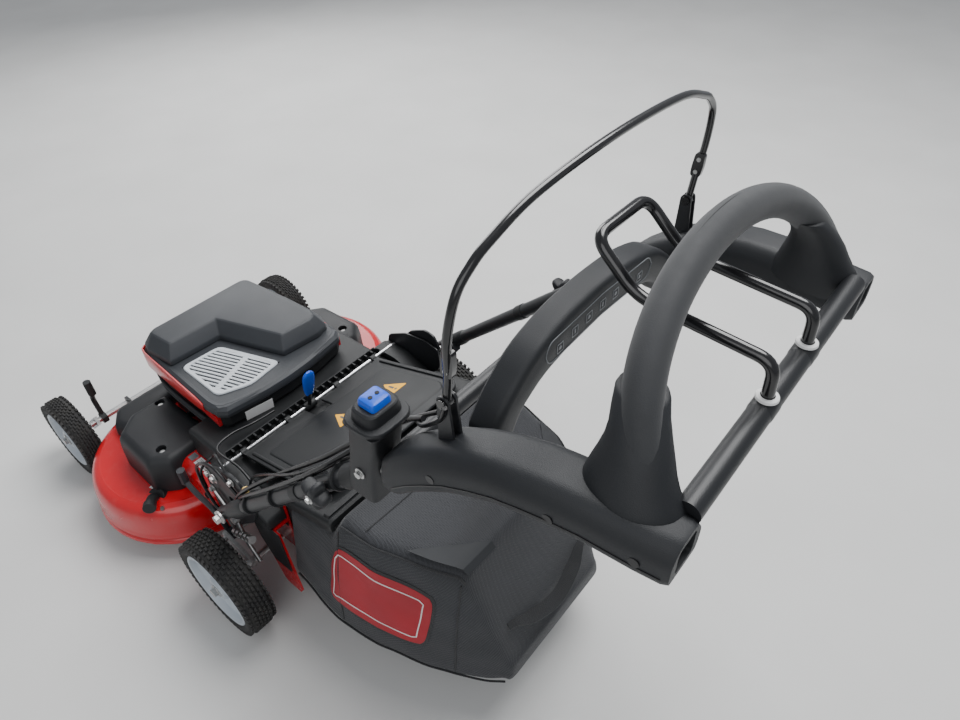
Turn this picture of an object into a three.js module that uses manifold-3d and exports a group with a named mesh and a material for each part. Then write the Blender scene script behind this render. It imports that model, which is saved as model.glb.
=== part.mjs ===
// Walk-behind battery lawn mower: twin-blade steel deck, battery housing, folding handle with an
// arched foam grip, blade bail and traction bar, and a rear grass bag.
// Millimetres, +Z up, +Y towards the operator, +X to the operator's left.
// The mower is laid out from the ground point under the rear axle and then moved so that the
// origin is the bottom centre of its bounding box.

import * as THREE from 'three';
import { mergeVertices } from 'three/addons/utils/BufferGeometryUtils.js';
import Module from 'manifold-3d';

const wasm = await Module();
wasm.setup();

// ---------------------------------------------------------------- driving dimensions
const GAP = 0.3;                       // clearance between touching pieces
const REAR_WHEEL = { radius: 114.3, width: 60, x: 331, y: 0, rim: 84, bore: 7 };
const FRONT_WHEEL = { radius: 101.6, width: 50, x: 320, y: -636, rim: 72, bore: 6 };
const LOBE = { x: 184, y: -363, radius: 208 };      // one blade chamber
const LIP_Z = 50;
const DECK_TOP_Z = 150;
const SHEET = 3;                       // deck steel thickness
const PAN_REAR_Y = -150;
const BLOCK = { inner: 120, outer: 246, front: -232, rear: -122, top: 222 };
const CHUTE = { half: 205, front: -228, rear: 75, bottom: 150, top: 290 };
const SKIRT = { x: 238, rear: 108, bottom: 62 };

const PULLEY = { radius: 38, bottom: 158, height: 20 };
const BELT_THICKNESS = 4;
const BLADE = { length: 390, width: 52, thickness: 4, z: 84 };

const HOUSING = { front: -480, rear: -172, bow: -138, halfFront: 150, halfRear: 164 };
const TUB_TOP_Z = 330;
const RIM_TOP_Z = 352;
const LID_TOP_Z = 394;

const FRONT_PIVOT = { y: -592, z: 140 };
const REAR_PIVOT = { y: -75, z: 132 };
const DOOR_HINGE = { y: -79, z: 304 };
const DOOR = { half: 182, length: 276, thickness: 6, tilt: 0.29 };

const TUBE_RADIUS = 13;
const FOLD = { x: 290, y: 38, z: 330 };             // handle fold bolts
const TUBE_BEND = [250, 410, 678];
const TUBE_END = [250, 532, 792];
const ARM_INNER_X = 196;
const CROSSBAR = { y: 787, z: 866, radius: 12.5 };
const BAIL_FOOT = { x: 242, y: 556, z: 884 };
const GRIP_BASE = { x: 210, y: 757, z: 872 };
const GRIP_TOP = { y: 690, z: 1004 };
const GRIP_RADIUS = 18;

// ---------------------------------------------------------------- helpers
const group = new THREE.Group();
const model = new THREE.Group();
group.add(model);

const finish = {
  red: { color: 0xb3151b, roughness: 0.28, metalness: 0.1 },
  black: { color: 0x1c1d1f, roughness: 0.55, metalness: 0.0 },
  grey: { color: 0x35373a, roughness: 0.6, metalness: 0.0 },
  tube: { color: 0x2a2c2f, roughness: 0.4, metalness: 0.3 },
  steel: { color: 0xb9bcc0, roughness: 0.35, metalness: 0.9 },
  silver: { color: 0xc6cacd, roughness: 0.4, metalness: 0.2 },
  rubber: { color: 0x161616, roughness: 0.9, metalness: 0.0 },
  foam: { color: 0x2b2c2e, roughness: 0.85, metalness: 0.0 },
  fabric: { color: 0x202124, roughness: 0.95, metalness: 0.0 },
  blue: { color: 0x0b4fd0, roughness: 0.4, metalness: 0.0 },
  white: { color: 0xd8d9da, roughness: 0.35, metalness: 0.3 },
};

function piece(name, geometry, look) {
  const mesh = new THREE.Mesh(geometry, new THREE.MeshStandardMaterial(finish[look]));
  mesh.name = name;
  model.add(mesh);
  return mesh;
}

const v = (x, y, z) => new THREE.Vector3(x, y, z);

function toSolid(geometry) {
  const bare = geometry.clone();
  bare.deleteAttribute('normal');
  bare.deleteAttribute('uv');
  const merged = mergeVertices(bare, 1e-4);
  const vertProperties = new Float32Array(merged.attributes.position.array);
  const triVerts = new Uint32Array(merged.index.array);
  return new wasm.Manifold(new wasm.Mesh({ numProp: 3, vertProperties, triVerts }));
}

function toGeometry(solid) {
  const mesh = solid.getMesh();
  const geometry = new THREE.BufferGeometry();
  geometry.setAttribute('position', new THREE.BufferAttribute(mesh.vertProperties, 3));
  geometry.setIndex(new THREE.BufferAttribute(mesh.triVerts, 1));
  return geometry;
}

const join = (...parts) => toGeometry(parts.map(toSolid).reduce((a, b) => a.add(b)));
const cut = (base, ...tools) => toGeometry(tools.map(toSolid).reduce((a, b) => a.subtract(b), toSolid(base)));

// Box given by its lowest and highest corners.
function block(x0, x1, y0, y1, z0, z1) {
  return new THREE.BoxGeometry(x1 - x0, y1 - y0, z1 - z0).translate((x0 + x1) / 2, (y0 + y1) / 2, (z0 + z1) / 2);
}

// Cylinder between two points.
function rod(from, to, radius, sides = 12) {
  const a = v(...from);
  const b = v(...to);
  const geometry = new THREE.CylinderGeometry(radius, radius, a.distanceTo(b), sides);
  const turn = new THREE.Quaternion().setFromUnitVectors(v(0, 1, 0), b.clone().sub(a).normalize());
  const middle = a.add(b).multiplyScalar(0.5);
  return geometry.applyQuaternion(turn).translate(middle.x, middle.y, middle.z);
}

// Solid of revolution about +X through (y, z); the profile is [x, radius] and closes on itself.
function turnedX(profile, y, z, sides = 24) {
  const points = profile.map(([x, r]) => new THREE.Vector2(r, x));
  points.push(points[0].clone());
  const geometry = new THREE.LatheGeometry(points, sides);
  return outward(geometry.rotateZ(-Math.PI / 2)).translate(0, y, z);
}

// Solid of revolution about +Z through (x, y); the profile is [radius, z] and closes on itself.
function turnedZ(profile, x, y, sides = 16) {
  const points = profile.map(([r, z]) => new THREE.Vector2(r, z));
  points.push(points[0].clone());
  return outward(new THREE.LatheGeometry(points, sides).rotateX(Math.PI / 2)).translate(x, y, 0);
}

// Signed volume; a negative one means the faces point inwards.
function outward(geometry) {
  const g = geometry.index ? geometry : mergeVertices(geometry);
  const p = g.attributes.position;
  const index = g.index.array;
  let volume = 0;
  for (let i = 0; i < index.length; i += 3) {
    const [a, b, c] = [0, 1, 2].map((k) => new THREE.Vector3().fromBufferAttribute(p, index[i + k]));
    volume += a.dot(b.cross(c));
  }
  if (volume < 0) {
    for (let i = 0; i < index.length; i += 3) {
      [index[i], index[i + 1]] = [index[i + 1], index[i]];
    }
  }
  return g;
}

// Skin over closed rings of equal point count, with flat caps. flat(point) gives a cap's 2-D view.
function loft(rings, flat) {
  const positions = rings.flat(2);
  const n = rings[0].length;
  const index = [];
  for (let r = 0; r + 1 < rings.length; r += 1) {
    for (let i = 0; i < n; i += 1) {
      const j = (i + 1) % n;
      const [a, b, c, d] = [r * n + i, r * n + j, (r + 1) * n + j, (r + 1) * n + i];
      index.push(a, b, c, a, c, d);
    }
  }
  const last = (rings.length - 1) * n;
  const first2d = rings[0].map((p) => new THREE.Vector2(...flat(p)));
  const last2d = rings[rings.length - 1].map((p) => new THREE.Vector2(...flat(p)));
  const ccw = THREE.ShapeUtils.area(first2d) > 0;
  for (const [a, b, c] of THREE.ShapeUtils.triangulateShape(first2d, [])) {
    index.push(...(ccw ? [a, c, b] : [a, b, c]));
  }
  for (const [a, b, c] of THREE.ShapeUtils.triangulateShape(last2d, [])) {
    index.push(...(ccw ? [last + a, last + b, last + c] : [last + a, last + c, last + b]));
  }
  const geometry = new THREE.BufferGeometry();
  geometry.setAttribute('position', new THREE.Float32BufferAttribute(positions, 3));
  geometry.setIndex(index);
  return outward(geometry);
}

// Layers of plan outlines: [[z, [[x, y], ...]], ...]
const layered = (layers) => loft(layers.map(([z, pts]) => pts.map(([x, y]) => [x, y, z])), (p) => [p[0], p[1]]);

// Outline extruded along +X from x0 to x1; the outline is [y, z].
function platedX(outline, x0, x1, holes = []) {
  const shape = new THREE.Shape(outline.map(([y, z]) => new THREE.Vector2(y, z)));
  holes.forEach(([y, z, r]) => shape.holes.push(new THREE.Path().absarc(y, z, r, 0, 2 * Math.PI, true)));
  const geometry = new THREE.ExtrudeGeometry(shape, { depth: x1 - x0, bevelEnabled: false, curveSegments: 6 });
  // shape axes x, y, z become row axes y, z, x
  geometry.applyMatrix4(new THREE.Matrix4().set(0, 0, 1, x0, 1, 0, 0, 0, 0, 1, 0, 0, 0, 0, 0, 1));
  return mergeClean(geometry);
}

// Outline extruded along +Z from z0 to z1; the outline is [x, y].
function platedZ(outline, z0, z1, holes = []) {
  const shape = new THREE.Shape(outline.map(([x, y]) => new THREE.Vector2(x, y)));
  holes.forEach(([x, y, r]) => shape.holes.push(new THREE.Path().absarc(x, y, r, 0, 2 * Math.PI, true)));
  const geometry = new THREE.ExtrudeGeometry(shape, { depth: z1 - z0, bevelEnabled: false, curveSegments: 12 });
  return mergeClean(geometry.translate(0, 0, z0));
}

function mergeClean(geometry) {
  geometry.deleteAttribute('normal');
  geometry.deleteAttribute('uv');
  return outward(mergeVertices(geometry, 1e-4));
}

// Round tube through points; corners are rounded with a bend radius.
function bentTube(points, radius, bend, sides = 10, steps = 30) {
  const p = points.map((q) => v(...q));
  const path = new THREE.CurvePath();
  let start = p[0];
  for (let i = 1; i + 1 < p.length; i += 1) {
    const before = p[i].clone().add(p[i - 1].clone().sub(p[i]).setLength(bend));
    const after = p[i].clone().add(p[i + 1].clone().sub(p[i]).setLength(bend));
    path.add(new THREE.LineCurve3(start, before));
    path.add(new THREE.QuadraticBezierCurve3(before, p[i], after));
    start = after;
  }
  path.add(new THREE.LineCurve3(start, p[p.length - 1]));
  return sweep(path, radius, sides, steps);
}

function sweep(path, radius, sides = 10, steps = 30) {
  const shape = new THREE.Shape(circle(radius, sides).map(([x, y]) => new THREE.Vector2(x, y)));
  return mergeClean(new THREE.ExtrudeGeometry(shape, { steps, bevelEnabled: false, extrudePath: path }));
}

const circle = (r, sides) => [...Array(sides).keys()].map((i) => {
  const a = (2 * Math.PI * i) / sides;
  return [r * Math.cos(a), r * Math.sin(a)];
});

// Shell arm along a [y, z] path: each station is [y, z, x0, x1, height]; section corners are cut.
function arm(stations, side, chamfer = 9) {
  const rings = stations.map(([y, z, x0, x1, h], i) => {
    const a = stations[Math.max(i - 1, 0)];
    const b = stations[Math.min(i + 1, stations.length - 1)];
    const t = new THREE.Vector2(b[0] - a[0], b[1] - a[1]).normalize();
    const [ny, nz] = [-t.y, t.x];
    const k = h / 2;
    const section = [[x0 + chamfer, -k], [x1 - chamfer, -k], [x1, -k + chamfer], [x1, k - chamfer],
      [x1 - chamfer, k], [x0 + chamfer, k], [x0, k - chamfer], [x0, -k + chamfer]];
    return section.map(([x, n]) => [side * x, y + ny * n, z + nz * n]);
  });
  return loft(rings, (p) => [p[0], p[2] - p[1]]);
}

const mirrored = (outline) => outline.concat(outline.slice().reverse().map(([x, y]) => [-x, y]));
const SIDES = [['left', 1], ['right', -1]];

// ---------------------------------------------------------------- deck
// Plan of the pan: two round lobes, straight between them in front and behind.
function panOutline(inset) {
  const r = LOBE.radius - inset;
  const half = [];
  const [from, to, steps] = [-112, 58, 14];
  for (let i = 0; i <= steps; i += 1) {
    const a = THREE.MathUtils.degToRad(from + ((to - from) * i) / steps);
    half.push([LOBE.x + r * Math.cos(a), LOBE.y + r * Math.sin(a)]);
  }
  half.push([CHUTE.half, PAN_REAR_Y - inset]);
  return mirrored(half);
}

function deckShell() {
  const outer = layered([[LIP_Z, -5], [55, -5], [59, 0], [118, 4], [140, 12], [DECK_TOP_Z, 28]]
    .map(([z, o]) => [z, panOutline(o)]));
  const inner = layered([[LIP_Z - 8, 3], [59, 3], [117, 7], [138, 15], [DECK_TOP_Z - SHEET, 31]]
    .map(([z, o]) => [z, panOutline(o)]));
  const chute = block(-CHUTE.half, CHUTE.half, CHUTE.front, CHUTE.rear, DECK_TOP_Z - 10, CHUTE.top);
  let solid = toSolid(outer).add(toSolid(chute));
  for (const [, s] of SIDES) {
    // raised block beside the battery housing, sloping down to the outside
    const profile = [[BLOCK.inner, 140], [BLOCK.outer, 140], [BLOCK.outer, 178], [205, BLOCK.top], [BLOCK.inner, BLOCK.top]];
    const wedge = (grow, y0, y1) => loft([y0, y1].map((y) => profile.map(([x, z]) => [s * (x - grow), y, z - grow])),
      (p) => [p[0], p[2]]);
    solid = solid.add(toSolid(wedge(0, BLOCK.front, BLOCK.rear)));
    // rear side skirt with its top flange and foot
    const skirt = [[CHUTE.rear - 62, 246], [CHUTE.rear - 62, 200], [52, SKIRT.bottom + 10], [62, SKIRT.bottom],
      [SKIRT.rear - 8, SKIRT.bottom], [SKIRT.rear, 74], [SKIRT.rear - 18, 246]];
    const x = s * SKIRT.x;
    solid = solid.add(toSolid(platedX(skirt, x - 2, x + 2)));
    const flange = [s * (CHUTE.half - 2), x].sort((a, b) => a - b);
    solid = solid.add(toSolid(block(...flange, CHUTE.rear - 62, CHUTE.rear, 242, 246)));
  }
  const tunnel = block(-CHUTE.half + SHEET, CHUTE.half - SHEET, CHUTE.front + SHEET, CHUTE.rear + 9,
    DECK_TOP_Z + SHEET, CHUTE.top - SHEET);
  const throat = block(-CHUTE.half + SHEET, CHUTE.half - SHEET, CHUTE.front + SHEET, PAN_REAR_Y - 6,
    DECK_TOP_Z - 30, DECK_TOP_Z + 20);
  const ledge = block(-CHUTE.half - 1, CHUTE.half + 1, PAN_REAR_Y + 4, CHUTE.rear + 1, DECK_TOP_Z - 12, DECK_TOP_Z);
  solid = solid.subtract(toSolid(inner)).subtract(toSolid(tunnel)).subtract(toSolid(throat));
  solid = solid.subtract(toSolid(ledge));
  // welded bearing housings for the two blade spindles
  const housing = [[10.5, 112], [20, 112], [28, 124], [28, DECK_TOP_Z - 1], [46, DECK_TOP_Z - 1],
    [46, DECK_TOP_Z + 5], [10.5, DECK_TOP_Z + 5]];
  for (const [, s] of SIDES) {
    solid = solid.subtract(toSolid(rod([s * LOBE.x, LOBE.y, 140], [s * LOBE.x, LOBE.y, 160], 20, 28)));
    solid = solid.add(toSolid(turnedZ(housing, s * LOBE.x, LOBE.y)));
  }
  return toGeometry(solid);
}
piece('deck_shell', deckShell(), 'red');

// ---------------------------------------------------------------- blade drive
function bladeBar(turned) {
  const half = BLADE.length / 2;
  const w = BLADE.width / 2;
  const outline = [[-half, -w], [-half + 70, -w], [-60, -w + 6], [60, -w + 6], [half, -w + 6], [half, w],
    [half - 70, w], [60, w - 6], [-60, w - 6], [-half, w - 6]];
  const bar = platedZ(outline, BLADE.z, BLADE.z + BLADE.thickness, [[0, 0, 10.6]]);
  const sail = (s) => block(...[s * (half - 62), s * (half - 2)].sort((a, b) => a - b),
    ...(s > 0 ? [w - 14, w - 6] : [-w + 6, -w + 14]),
    BLADE.z + 2, BLADE.z + 20);
  return join(bar, sail(1), sail(-1)).rotateZ(turned);
}

for (const [name, s] of SIDES) {
  const x = s * LOBE.x;
  const shaft = [[0, 74], [16, 74], [16, BLADE.z - GAP], [10, BLADE.z - GAP], [10, 184], [0, 184]];
  piece(`spindle_${name}`, turnedZ(shaft, x, LOBE.y), 'steel');
  piece(`blade_${name}`, bladeBar(s > 0 ? 0 : Math.PI / 2).translate(x, LOBE.y, 0), 'steel');
}
function pulley(bore, x) {
  const top = PULLEY.bottom + PULLEY.height;
  return turnedZ([[bore, PULLEY.bottom], [PULLEY.radius, PULLEY.bottom], [PULLEY.radius, top], [bore, top]], x, LOBE.y, 20);
}
for (const [name, s] of SIDES) {
  piece(`pulley_${name}`, pulley(10.3, s * LOBE.x), 'steel');
}

function beltRing() {
  const inner = PULLEY.radius + GAP;
  const track = (r) => {
    const half = [...Array(17).keys()].map((i) => {
      const a = -Math.PI / 2 + (Math.PI * i) / 16;
      return [LOBE.x + r * Math.cos(a), LOBE.y + r * Math.sin(a)];
    });
    return half.concat(half.map(([x, y]) => [-x, 2 * LOBE.y - y]));
  };
  return cut(platedZ(track(inner + BELT_THICKNESS), PULLEY.bottom + 2, PULLEY.bottom + 18),
    platedZ(track(inner), PULLEY.bottom, PULLEY.bottom + 22));
}
piece('drive_belt', beltRing(), 'rubber');

const MOTOR_Z = 200;
piece('motor', turnedZ([[8.3, MOTOR_Z], [64, MOTOR_Z], [64, MOTOR_Z + 70], [20, MOTOR_Z + 76], [8.3, MOTOR_Z + 76]],
  0, LOBE.y, 20), 'steel');
piece('motor_rotor', join(pulley(5, 0), rod([0, LOBE.y, PULLEY.bottom + 1], [0, LOBE.y, MOTOR_Z + 60], 8)), 'steel');

// ---------------------------------------------------------------- covers on the deck
function spindleCover(side) {
  const plan = (o) => [[150 + o, -436 + o], [246 - o, -440 + o], [298 - o, -398 + o], [303 - o, -272 - o],
    [266 - o, -237 - o], [150 + o, -237 - o]].map(([x, y]) => [side * x, y]);
  const shell = layered([[DECK_TOP_Z + GAP, plan(0)], [228, plan(4)], [240, plan(16)]]);
  const hollow = layered([[DECK_TOP_Z - 2, plan(3.5)], [225, plan(8)], [236, plan(19)]]);
  const beltWay = block(...[side * 140, side * 170].sort((a, b) => a - b), -412, -314, DECK_TOP_Z - 2, 186);
  const room = block(...[side * 140, side * 250].sort((a, b) => a - b), BLOCK.front - 0.5, -200, 140, 250);
  return cut(shell, hollow, beltWay, room);
}
for (const [name, s] of SIDES) {
  piece(`spindle_cover_${name}`, spindleCover(s), 'black');
}

const coverPlan = (o) => mirrored([[110, -545 + o], [236 - o, -545 + o], [268 - o, -500], [256 - o, -452 - o], [110, -486 - o]]);
piece('front_cover', cut(layered([[DECK_TOP_Z + GAP, coverPlan(0)], [178, coverPlan(4)], [188, coverPlan(14)]]),
  layered([[DECK_TOP_Z - 2, coverPlan(3)], [176, coverPlan(7)], [184, coverPlan(17)]])), 'black');

// ---------------------------------------------------------------- battery housing
// Plan of the housing: narrower at the front, with a bowed rear edge.
function housingOutline(inset) {
  const { front, rear, bow, halfFront, halfRear } = HOUSING;
  const half = [[0, front + inset], [halfFront - 34 - inset, front + inset], [halfFront - 10 - inset, front + 8 + inset],
    [halfFront - inset, front + 34], [halfRear - inset, rear], [halfRear - 14 - inset, rear + 18 - inset],
    [halfRear / 2, bow + (rear - bow) * 0.15 - inset]];
  return half.concat([[0, bow - inset]], half.slice(1).reverse().map(([x, y]) => [-x, y]));
}

const MOUNT_Y = -240;                   // rear face of the tub below the chute
function batteryTub() {
  const foot = (grow) => [[-125 + grow, -468 + grow], [125 - grow, -468 + grow], [128 - grow, MOUNT_Y - grow],
    [-128 + grow, MOUNT_Y - grow]];
  const lower = layered([[DECK_TOP_Z + GAP, foot(0)], [CHUTE.top + 20, foot(-8)]]);
  const upper = layered([[CHUTE.top + GAP, housingOutline(14)], [TUB_TOP_Z - 26, housingOutline(6)],
    [TUB_TOP_Z, housingOutline(6)]]);
  const lowerRoom = layered([[193, foot(4)], [CHUTE.top + 30, foot(-4)]]);
  const upperRoom = layered([[CHUTE.top + 4, housingOutline(20)], [TUB_TOP_Z + 9, housingOutline(12)]]);
  const beltWay = block(-200, 200, LOBE.y - 48, LOBE.y + 48, DECK_TOP_Z - 10, 188);
  const shaftWay = rod([0, LOBE.y, 180], [0, LOBE.y, 200], 12);
  const chuteRoom = block(-220, 220, CHUTE.front - 1, 0, 100, CHUTE.top + GAP);
  return cut(join(lower, upper), lowerRoom, upperRoom, beltWay, shaftWay, chuteRoom);
}
piece('battery_tub', batteryTub(), 'black');

const bay = { x0: -128, x1: -26, front: -446, rear: -268 };
const LID_SPLIT = [[141, -356], [24, -350], [-30, -194]];   // edge between the lid and the vent
const VENT = [[132, -338], [40, -332], [-10, -186], [72, -176], [136, -204]];
function housingTop() {
  const plate = layered([[TUB_TOP_Z + GAP, housingOutline(1)], [TUB_TOP_Z + 8, housingOutline(0)],
    [RIM_TOP_Z - 6, housingOutline(2)], [RIM_TOP_Z, housingOutline(8)]]);
  const opening = block(bay.x0, bay.x1, bay.front, bay.rear, TUB_TOP_Z - 5, RIM_TOP_Z + 5);
  const ventWell = platedZ(VENT, RIM_TOP_Z - 5, RIM_TOP_Z + 5);
  return cut(plate, opening, ventWell);
}
piece('housing_top', housingTop(), 'grey');

const shrunk = (outline, k) => {
  const cx = outline.reduce((a, p) => a + p[0], 0) / outline.length;
  const cy = outline.reduce((a, p) => a + p[1], 0) / outline.length;
  return outline.map(([x, y]) => [cx + (x - cx) * k, cy + (y - cy) * k]);
};
function ventGrille() {
  const bed = platedZ(shrunk(VENT, 0.985), RIM_TOP_Z - 5 + GAP, RIM_TOP_Z + 3);
  const slots = [];
  for (let i = 0; i < 9; i += 1) {
    const y = -322 + i * 15;
    slots.push(block(48 - i * 5 + 14, 116, y, y + 5, RIM_TOP_Z - 1, RIM_TOP_Z + 9));
  }
  return cut(bed, ...slots);
}
piece('vent_grille', ventGrille(), 'silver');

function lid() {
  const side = (o) => [[108 - o, HOUSING.front + 8 + o], [136 - o, HOUSING.front + 34 + o * 0.6]];
  const plan = (o, split) => [[-108 + o, HOUSING.front + 8 + o], ...side(o), [split[0][0] - o, split[0][1] - o],
    [split[1][0] - o, split[1][1] - o], [split[2][0] - o, split[2][1] - o], [-132 + o, -190 - o],
    [-152 + o, -206 - o], [-158 + o, -250], [-136 + o, HOUSING.front + 34 + o * 0.6]];
  const z = RIM_TOP_Z + GAP;
  const shell = layered([[z, plan(0, LID_SPLIT)], [z + 8, plan(1, LID_SPLIT)], [LID_TOP_Z - 4, plan(17, LID_SPLIT)],
    [LID_TOP_Z, plan(22, LID_SPLIT)]]);
  const room = layered([[z - 5, plan(4, LID_SPLIT)], [z + 8, plan(5, LID_SPLIT)], [LID_TOP_Z - 8, plan(20, LID_SPLIT)]]);
  return cut(shell, room);
}
piece('battery_lid', lid(), 'grey');

piece('battery_pack', block(bay.x0 + 10, bay.x1 - 4, bay.front + 16, bay.rear - 7, 290, LID_TOP_Z - 16), 'black');
piece('controller', block(34, 124, -440, -276, 284, TUB_TOP_Z - 6), 'steel');

for (const [name, s] of SIDES) {
  const [x0, x1] = [HOUSING.halfFront - 6 + GAP, HOUSING.halfRear - 6 + GAP];
  const band = (y, x, low) => [[x, low], [x + 7, low], [x + 7, TUB_TOP_Z - 1], [x, TUB_TOP_Z - 1]]
    .map(([px, pz]) => [s * px, y, pz]);
  piece(`red_strip_${name}`, loft([band(HOUSING.front + 34, x0, 318), band(HOUSING.rear - 2, x1, 304.3)],
    (p) => [p[0], p[2]]), 'red');
}

// ---------------------------------------------------------------- wheels and axles
function tyre(w) {
  const h = w.width / 2;
  return [[-h + 6, w.rim], [-h, w.radius - 16], [-h + 12, w.radius], [h - 12, w.radius], [h, w.radius - 16], [h - 6, w.rim]];
}
function wheelRim(w, side) {
  const h = w.width / 2 - 5;
  const r = w.rim - GAP;
  // barrel with a dished disc towards the outside and a hub
  const s = side;
  return [[-h * s, r], [-h * s, r - 5], [(h - 12) * s, r - 9], [(h - 14) * s, 26], [(-h + 6) * s, 22], [(-h + 6) * s, w.bore + GAP],
    [(h - 4) * s, w.bore + GAP], [(h - 4) * s, 24], [h * s, r - 6], [h * s, r]];
}
function wheelPair(prefix, w) {
  for (const [name, s] of SIDES) {
    piece(`${prefix}_tyre_${name}`, turnedX(tyre(w), w.y, w.radius).translate(s * w.x, 0, 0), 'rubber');
    const disc = turnedX(wheelRim(w, s), w.y, w.radius);
    const holes = [...Array(5).keys()].map((i) => {
      const a = (2 * Math.PI * i) / 5 + Math.PI / 2;
      const [y, z] = [w.y + w.rim * 0.6 * Math.cos(a), w.radius + w.rim * 0.6 * Math.sin(a)];
      return rod([-60, y, z], [60, y, z], w.rim * 0.16, 8);
    });
    piece(`${prefix}_rim_${name}`, cut(disc, ...holes).translate(s * w.x, 0, 0), 'white');
  }
}
wheelPair('rear', REAR_WHEEL);
wheelPair('front', FRONT_WHEEL);

function crankAxle(w, pivot, pivotHalf, armX, pivotRadius) {
  const reach = w.x + w.width / 2 - 12;
  const parts = [rod([-reach, w.y, w.radius], [reach, w.y, w.radius], w.bore),
    rod([-pivotHalf, pivot.y, pivot.z], [pivotHalf, pivot.y, pivot.z], pivotRadius)];
  for (const [, s] of SIDES) {
    const link = [[pivot.y, pivot.z], [w.y, w.radius]];
    const d = new THREE.Vector2(link[1][0] - link[0][0], link[1][1] - link[0][1]).normalize();
    const n = [-d.y * 11, d.x * 11];
    const e = [d.x * 9, d.y * 9];
    const outline = [[link[0][0] - e[0] + n[0], link[0][1] - e[1] + n[1]], [link[0][0] - e[0] - n[0], link[0][1] - e[1] - n[1]],
      [link[1][0] + e[0] - n[0], link[1][1] + e[1] - n[1]], [link[1][0] + e[0] + n[0], link[1][1] + e[1] + n[1]]];
    const ordered = THREE.ShapeUtils.area(outline.map((q) => new THREE.Vector2(...q))) > 0 ? outline : outline.reverse();
    parts.push(platedX(ordered, s * armX - 4, s * armX + 4));
  }
  return join(...parts);
}
piece('rear_axle', crankAxle(REAR_WHEEL, REAR_PIVOT, 288, 272, 7), 'steel');
piece('front_axle', crankAxle(FRONT_WHEEL, FRONT_PIVOT, 290, 274, 7), 'steel');

// height levers: a flat steel blade with a plastic grip, clamped on the pivot rod
function heightLever(points, x, width, clampRadius) {
  const [a, b] = [v(x, ...points[0]), v(x, ...points[points.length - 1])];
  const bar = bentTube(points.map(([y, z]) => [x, y, z]), width, 14, 8, 12);
  const ring = turnedX([[x - 6, clampRadius + GAP], [x - 6, clampRadius + 7], [x + 6, clampRadius + 7], [x + 6, clampRadius + GAP]],
    a.y, a.z, 12);
  const grip = rod([x, b.y, b.z - 4], [x, b.y, b.z + 34], width + 3, 8);
  const bore = rod([x - 12, a.y, a.z], [x + 12, a.y, a.z], clampRadius + GAP);
  return cut(join(bar, ring, grip), bore);
}
piece('front_height_lever', heightLever([[FRONT_PIVOT.y, FRONT_PIVOT.z], [-604, 196], [-584, 226]], 256, 6, 7), 'black');
piece('rear_height_lever', heightLever([[REAR_PIVOT.y, REAR_PIVOT.z],
  [-112, 178], [-176, 186], [-206, 200]], 262, 6, 7), 'grey');

for (const [name, s] of SIDES) {
  // front brackets: ears on the deck's front wall
  const outline = [[-565.5, 125], [-604, 125], [-604, 150], [-598, 155], [-580, 155], [-561, 138]];
  piece(`front_bracket_${name}`, platedX(outline.reverse(), s * 190 - 3, s * 190 + 3,
    [[FRONT_PIVOT.y, FRONT_PIVOT.z, 7.3]]), 'black');
  // rear brackets: tall side plates that carry the fold bolts and the height pivot
  const plate = [[-215, 150.3], [-100, 150.3], [-92, 112], [-58, 112], [-40, 180], [30, 246], [62, 312], [58, 352],
    [20, 360], [-60, 344], [-150, 318], [-200, 250], [-215, 200]];
  const x0 = s > 0 ? BLOCK.outer + GAP : -BLOCK.outer - GAP - 4;
  const sheet = platedX(plate, x0, x0 + 4, [[REAR_PIVOT.y, REAR_PIVOT.z, 7.3], [-120, 280, 16], [-50, 262, 13]]);
  const stud = rod([s * (BLOCK.outer + 2), FOLD.y, FOLD.z], [s * (FOLD.x + 24), FOLD.y, FOLD.z], 5, 16);
  piece(`rear_bracket_${name}`, join(sheet, stud), 'black');
}

// ---------------------------------------------------------------- rear door
piece('door_rod', rod([-BLOCK.outer + 2, DOOR_HINGE.y, DOOR_HINGE.z],
  [BLOCK.outer - 2, DOOR_HINGE.y, DOOR_HINGE.z], 4), 'white');

function doorFlap() {
  const rise = Math.atan(DOOR.tilt);
  const base = platedZ([[-DOOR.half, 11], [DOOR.half, 11],
    [DOOR.half + 6, DOOR.length - 30], [DOOR.half - 20, DOOR.length],
    [-DOOR.half + 20, DOOR.length], [-DOOR.half - 6, DOOR.length - 30]], -DOOR.thickness / 2, DOOR.thickness / 2);
  const knuckle = (x0, x1) => rod([x0, 0, 0], [x1, 0, 0], 9, 16);
  const knuckles = [[-DOOR.half, -60], [60, DOOR.half]].map(([a, b]) => knuckle(a, b));
  const lugs = [[-DOOR.half, -60], [60, DOOR.half]].map(([a, b]) => block(a, b, 0, 14, -3, 3));
  const bore = rod([-200, 0, 0], [200, 0, 0], 4 + GAP);
  const leverWay = block(-12, 28, 0, 52, -10, 10);       // lets the release lever stand while the door lifts
  return cut(join(base, ...knuckles, ...lugs), bore, leverWay).rotateX(rise).translate(0, DOOR_HINGE.y, DOOR_HINGE.z);
}
piece('rear_door', doorFlap(), 'black');

function blueLever() {
  const hub = rod([-14, 0, 0], [14, 0, 0], 9, 16);
  const stem = loft([[4, 12, 5], [40, 10, 5], [86, 12, 5], [104, 8, 4]].map(([z, hx, hy]) =>
    [[-hx, -hy], [hx, -hy], [hx, hy], [-hx, hy]]
    .map(([x, y]) => [x, y + z * 0.22, z])), (p) => [p[0], p[1]]);
  return cut(join(hub, stem), rod([-40, 0, 0], [40, 0, 0], 4 + GAP)).translate(8, DOOR_HINGE.y, DOOR_HINGE.z);
}
piece('blue_lever', blueLever(), 'blue');

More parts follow.
